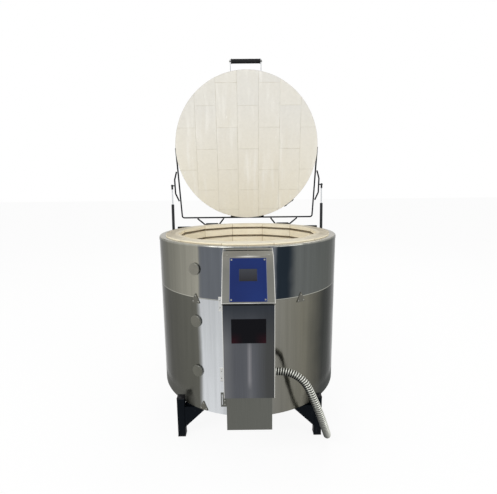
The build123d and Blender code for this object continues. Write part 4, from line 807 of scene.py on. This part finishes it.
finishes = {
    mirrorSteel(mirrorSheet): ["jacket_lower", "jacket_upper", "rim_cap"],
    brushedSteel("bandShine", (190, 190, 186), 0.3, around=True, contrast=0.16): ["lid_band"],
    brushedSteel("steelBright", (206, 207, 206), 0.24, around=True): [
        "bottom_pan", "cover_hinge_fixed_leaf_and_pin", "cover_hinge_moving_leaf"],
    wallBrick(brickLook): ["wall_bricks", "floor_slab"],
    lidBrick(lidLook): ["lid_slab"],
    fibre(fibreLook): ["insulation_blanket"],
    elementWire(wireLook): ["heating_elements", "element_tails"],
    porcelain(porcelainLook): ["terminal_insulators", "thermocouples"],
    brass(brassLook): ["terminal_connectors"],
    brushedSteel("zincPlate", (158, 158, 152), 0.32): [
        "case_screws", "box_standoffs", "box_cover_screws", "conduit_connector", "conduit_end_connector",
        "lid_handle_fasteners"],
    brushedSteel("plateSteel", (104, 103, 96), 0.36): ["joining_plates"],
    handleSteel(handleLook): ["lid_handle_brackets"],
    plugFace(plugLook): ["peephole_plug_lower", "peephole_plug_middle", "peephole_plug_upper"],
    blackSteel(blackLook): [
        "stand_posts", "stand_rails_and_gussets", "lid_frame_arm_left", "lid_frame_arm_right",
        "lid_frame_crossbar", "lid_hinge_loops", "lid_strut_loops", "lid_frame_saddle", "lid_band_clamp",
        "rear_bar", "rear_uprights", "hinge_brackets", "strut_lower_mounts"],
    boxSteel(boxLook): ["box_chassis", "box_lower_panel", "box_cover"],
    panelBlue(panelLook): ["controller_plate"],
    screenGlass(screenLook): ["controller_screen"],
    circuitBoard(boardLook): ["controller_board"],
    blackPlastic(plasticLook): ["stand_caps", "input_terminals_and_fuse"],
    relayCase(relayLook): ["power_relays"],
    transformerIron(transformerLook): ["control_transformer"],
    rubberBlack(rubberLook): ["stand_feet", "lid_handle_grip"],
    glossBlack(glossLook): ["strut_tube_left", "strut_tube_right"],
    strutRod(rodLook): ["strut_rod_left", "strut_rod_right"],
    braidedSleeve(sleeveLook): ["power_leads"],
    labelBlack(labelLook): ["blank_label_plate"],
    conduitMetal(conduitLook): ["conduit_free", "conduit_coil"],
}


def dress(thing, material):
    if not thing.material_slots:
        thing.data.materials.append(material)
    for slot in thing.material_slots:
        slot.material = material


materialOf = {}
for material, names in finishes.items():
    for name in names:
        dress(nodes[name], material)
        materialOf[name] = material
dress(hose, materialOf["conduit_free"])
print("finishes on", len(materialOf), "of", len(nodes), "nodes; bare:", sorted(set(nodes) - set(materialOf)))


# heating elements, wound wire in the brick grooves; rows are depths below a ring's top
elements = {"coil": 0.0041, "wire": 0.0009, "pitch": 0.0052, "perTurn": 6, "corner": 0.012,
            "ringTops": (0.4451, 0.6737, 0.9023), "rows": ((0.023, 0.071), (0.1576, 0.2056)),
            "apothem": 0.35199, "sides": 12, "tail": 0.03}


def roundedRun(points, radius, steps=5):
    run = [np.array(points[0])]
    for a, b, c in zip(points, points[1:], points[2:]):
        a, b, c = np.array(a), np.array(b), np.array(c)
        back, on = (a - b) / np.linalg.norm(a - b), (c - b) / np.linalg.norm(c - b)
        half = math.acos(max(-1, min(1, float(np.dot(back, on))))) / 2
        cut = radius / math.tan(half)
        for k in range(steps + 1):
            t = k / steps
            run.append((1 - t) ** 2 * (b + back * cut) + 2 * t * (1 - t) * b + t ** 2 * (b + on * cut))
    run.append(np.array(points[-1]))
    return np.array(run)


def woundWire(line, look):
    # the wire's own centre line and a four-sided ring at each of its points
    line = evenly(line, look["pitch"] / look["perTurn"])[0]
    side, rise = carriedFrames(line)
    angle = (np.arange(len(line)) * 2 * math.pi / look["perTurn"])[:, None]
    out = np.cos(angle) * side + np.sin(angle) * rise
    centre = line + out * look["coil"]
    ahead = np.gradient(centre, axis=0)
    ahead /= np.linalg.norm(ahead, axis=1)[:, None]
    across = np.cross(ahead, out)
    across /= np.linalg.norm(across, axis=1)[:, None]
    corners = [out, across, -out, -across]
    return np.stack([centre + corner * look["wire"] for corner in corners], 1)


def makeElements(look):
    half = math.pi / look["sides"]
    cornerReach = look["apothem"] / math.cos(half)
    corners = []
    for k in range(look["sides"]):
        a = -(2 * k + 1) * half
        corners.append((cornerReach * math.sin(a), -cornerReach * math.cos(a)))
    meshes = []
    for top in look["ringTops"]:
        for upper, lower in look["rows"]:
            points = []
            for level in (top - upper, top - lower):
                points.append((-look["tail"], -look["apothem"], level))
                points += [(x, y, level) for x, y in corners]
                points.append((look["tail"], -look["apothem"], level))
            meshes.append(woundWire(roundedRun(points, look["corner"]), look))
    made = [tubeFromRings(f"elementCoil{k}", rings) for k, rings in enumerate(meshes)]
    for coil in made:
        dress(coil, materialOf["heating_elements"])
        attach(coil, "kiln")
        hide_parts("heating_elements")
    print("elements wound:", len(made))


makeElements(elements)


# the lid's handle grip, moulded rubber with fine ribs and an end collar; a rib is share along, depth
grip = {"ribs": 30, "ribDepth": 0.0009, "collar": 0.005, "collarStep": 0.0018, "bore": 0.005, "gap": 0.004,
        "around": 40, "rib": ((0.08, 1.0), (0.28, 0.15), (0.5, 0.0), (0.72, 0.15), (0.92, 1.0))}


def makeGrip(look):
    low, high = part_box("lid_handle_grip")
    centre = (Vector(low) + Vector(high)) / 2
    half = (high[0] - low[0]) / 2
    radius = (high[1] - low[1]) / 2
    profile = [(-half, look["bore"]), (-half, radius * 0.8), (-half + 0.0012, radius * 0.97), (-half + 0.002, radius),
               (-half + look["collar"], radius), (-half + look["collar"] + 0.0012, radius - look["collarStep"])]
    start = -half + look["collar"] + look["gap"]
    span = -2 * start
    for k in range(look["ribs"]):
        for share, depth in look["rib"]:
            profile.append((start + span * (k + share) / look["ribs"],
                            radius - look["ribDepth"] * (1 + depth)))
    profile += [(-x, r) for x, r in profile[5::-1]]
    turns = np.linspace(0, 2 * math.pi, look["around"], endpoint=False)
    rings = np.array([[(x, r * math.cos(t), r * math.sin(t)) for t in turns] for x, r in profile])
    made = tubeFromRings("ribbedGrip", rings + np.array(centre))
    dress(made, materialOf["lid_handle_grip"])
    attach(made, "lid")
    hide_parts("lid_handle_grip")
    print("grip made")


makeGrip(grip)


# leads inside the box, each one smooth curve from a terminal to a relay: start x, end x, end height, step out
leads = {"radius": 0.002, "startFace": -0.4783, "startLevel": 0.517, "front": -0.513, "endFace": -0.4933,
         "runs": ((-0.072, 0.052, 0.581, 0.0), (-0.058, 0.052, 0.661, 0.007), (-0.044, 0.072, 0.754, 0.014))}


def makeLeads(look):
    curve = bpy.data.curves.new("relayLeads", "CURVE")
    curve.dimensions = "3D"
    curve.bevel_depth = look["radius"]
    curve.bevel_resolution = 3
    curve.use_fill_caps = True
    level = look["startLevel"]
    for startX, endX, endZ, out in look["runs"]:
        front = look["front"] - out
        addSpline(curve, [
            (startX, look["startFace"], level), (startX, front + 0.006, level), (startX + 0.004, front, level + 0.023),
            (startX + 0.016, front, endZ - 0.02), (startX + 0.05, front, endZ + 0.004), (endX - 0.012, front, endZ),
            (endX, front + 0.005, endZ), (endX, look["endFace"], endZ)], 12)
    made = addObject("relayLeads", curve)
    dress(made, materialOf["power_leads"])
    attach(made, "kiln")
    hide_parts("power_leads")
    print("leads made")


makeLeads(leads)


# the fibre blanket between bricks and jacket, its faces a little uneven
blanket = {"voxel": 0.009, "uneven": 0.0008, "middle": 0.4295, "lumps": 45}


def makeBlanket(look):
    mesh = nodes["insulation_blanket"].data.copy()
    made = addObject("fibreBlanket", mesh)
    remesh = made.modifiers.new("fineFaces", "REMESH")
    remesh.mode = "VOXEL"
    remesh.voxel_size = look["voxel"]
    remesh.use_smooth_shade = True
    view = bpy.context.evaluated_depsgraph_get()
    dense = bpy.data.meshes.new_from_object(made.evaluated_get(view))
    made.modifiers.clear()
    made.data = dense
    for point in dense.vertices:
        out = Vector((point.co.x, point.co.y, 0)).normalized()
        inward = 1 if point.co.xy.length < look["middle"] else -1
        point.co += out * inward * look["uneven"] * (1 + noise.noise(point.co * look["lumps"]))
    dress(made, materialOf["insulation_blanket"])
    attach(made, "kiln")
    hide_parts("insulation_blanket")
    print("blanket made:", len(dense.vertices), "points")


makeBlanket(blanket)


# floor, lamps and sky; shadow is the share of the lit floor that a camera sees
floorLook = {"half": 30.0, "shade": (250, 250, 249), "mottle": (247, 247, 246), "shadow": 0.1}
skyLook = {"strength": 0.75}
lampAim = (0, 0, 0.7)
lamps = {
    "keyLamp": {"place": (-2.6, -3.4, 3.6), "watts": 80, "size": 2.4},
    "fillLamp": {"place": (3.4, -2.6, 2.6), "watts": 45, "size": 2.8},
    "backLamp": {"place": (0.6, 3.4, 3.4), "watts": 34, "size": 2.6},
}


def seenRay(r):
    camera, glossy, through = r.node("LightPath", out=("Is Camera Ray", "Is Glossy Ray", "Is Transmission Ray"))
    return camera.most(glossy).most(through)


def makeFloor(look):
    mesh = bpy.data.meshes.new("studioFloor")
    h = look["half"]
    mesh.from_pydata([(-h, -h, 0), (h, -h, 0), (h, h, 0), (-h, h, 0)], [], [(0, 1, 2, 3)])
    floor = addObject("studioFloor", mesh)
    r = Recipe("paleFloor")
    mottled = r.noise(3, detail=2)
    matt = r.node("BsdfDiffuse", None, {"Color": r.blend(mottled, tone(look["shade"]), tone(look["mottle"]))})
    plain = r.node("Emission", None, {"Color": (1, 1, 1), "Strength": 1.0})
    r.close(r.node("MixShader", None, {0: seenRay(r) * (1 - look["shadow"]), 1: matt, 2: plain}))
    dress(floor, r.material)


def makeSky(look):
    world = bpy.data.worlds.new("studioSky")
    bpy.context.scene.world = world
    world.use_nodes = True
    r = NodeTree(world.node_tree)
    dim = r.node("Background", None, {"Color": (1, 1, 1), "Strength": look["strength"]})
    bright = r.node("Background", None, {"Color": (1, 1, 1), "Strength": 1.0})
    r.close(r.node("MixShader", None, {0: seenRay(r), 1: dim, 2: bright}), "OutputWorld")


def makeLamps(look):
    for name, lamp in look.items():
        data = bpy.data.lights.new(name, "AREA")
        data.shape = "DISK"
        data.size = lamp["size"]
        data.energy = lamp["watts"]
        made = addObject(name, data)
        made.location = lamp["place"]
        aim = Vector(lampAim) - made.location
        made.rotation_euler = aim.to_track_quat("-Z", "Y").to_euler()


makeFloor(floorLook)
makeSky(skyLook)
makeLamps(lamps)
bpy.context.scene.view_settings.view_transform = "Standard"
print("studio ready")
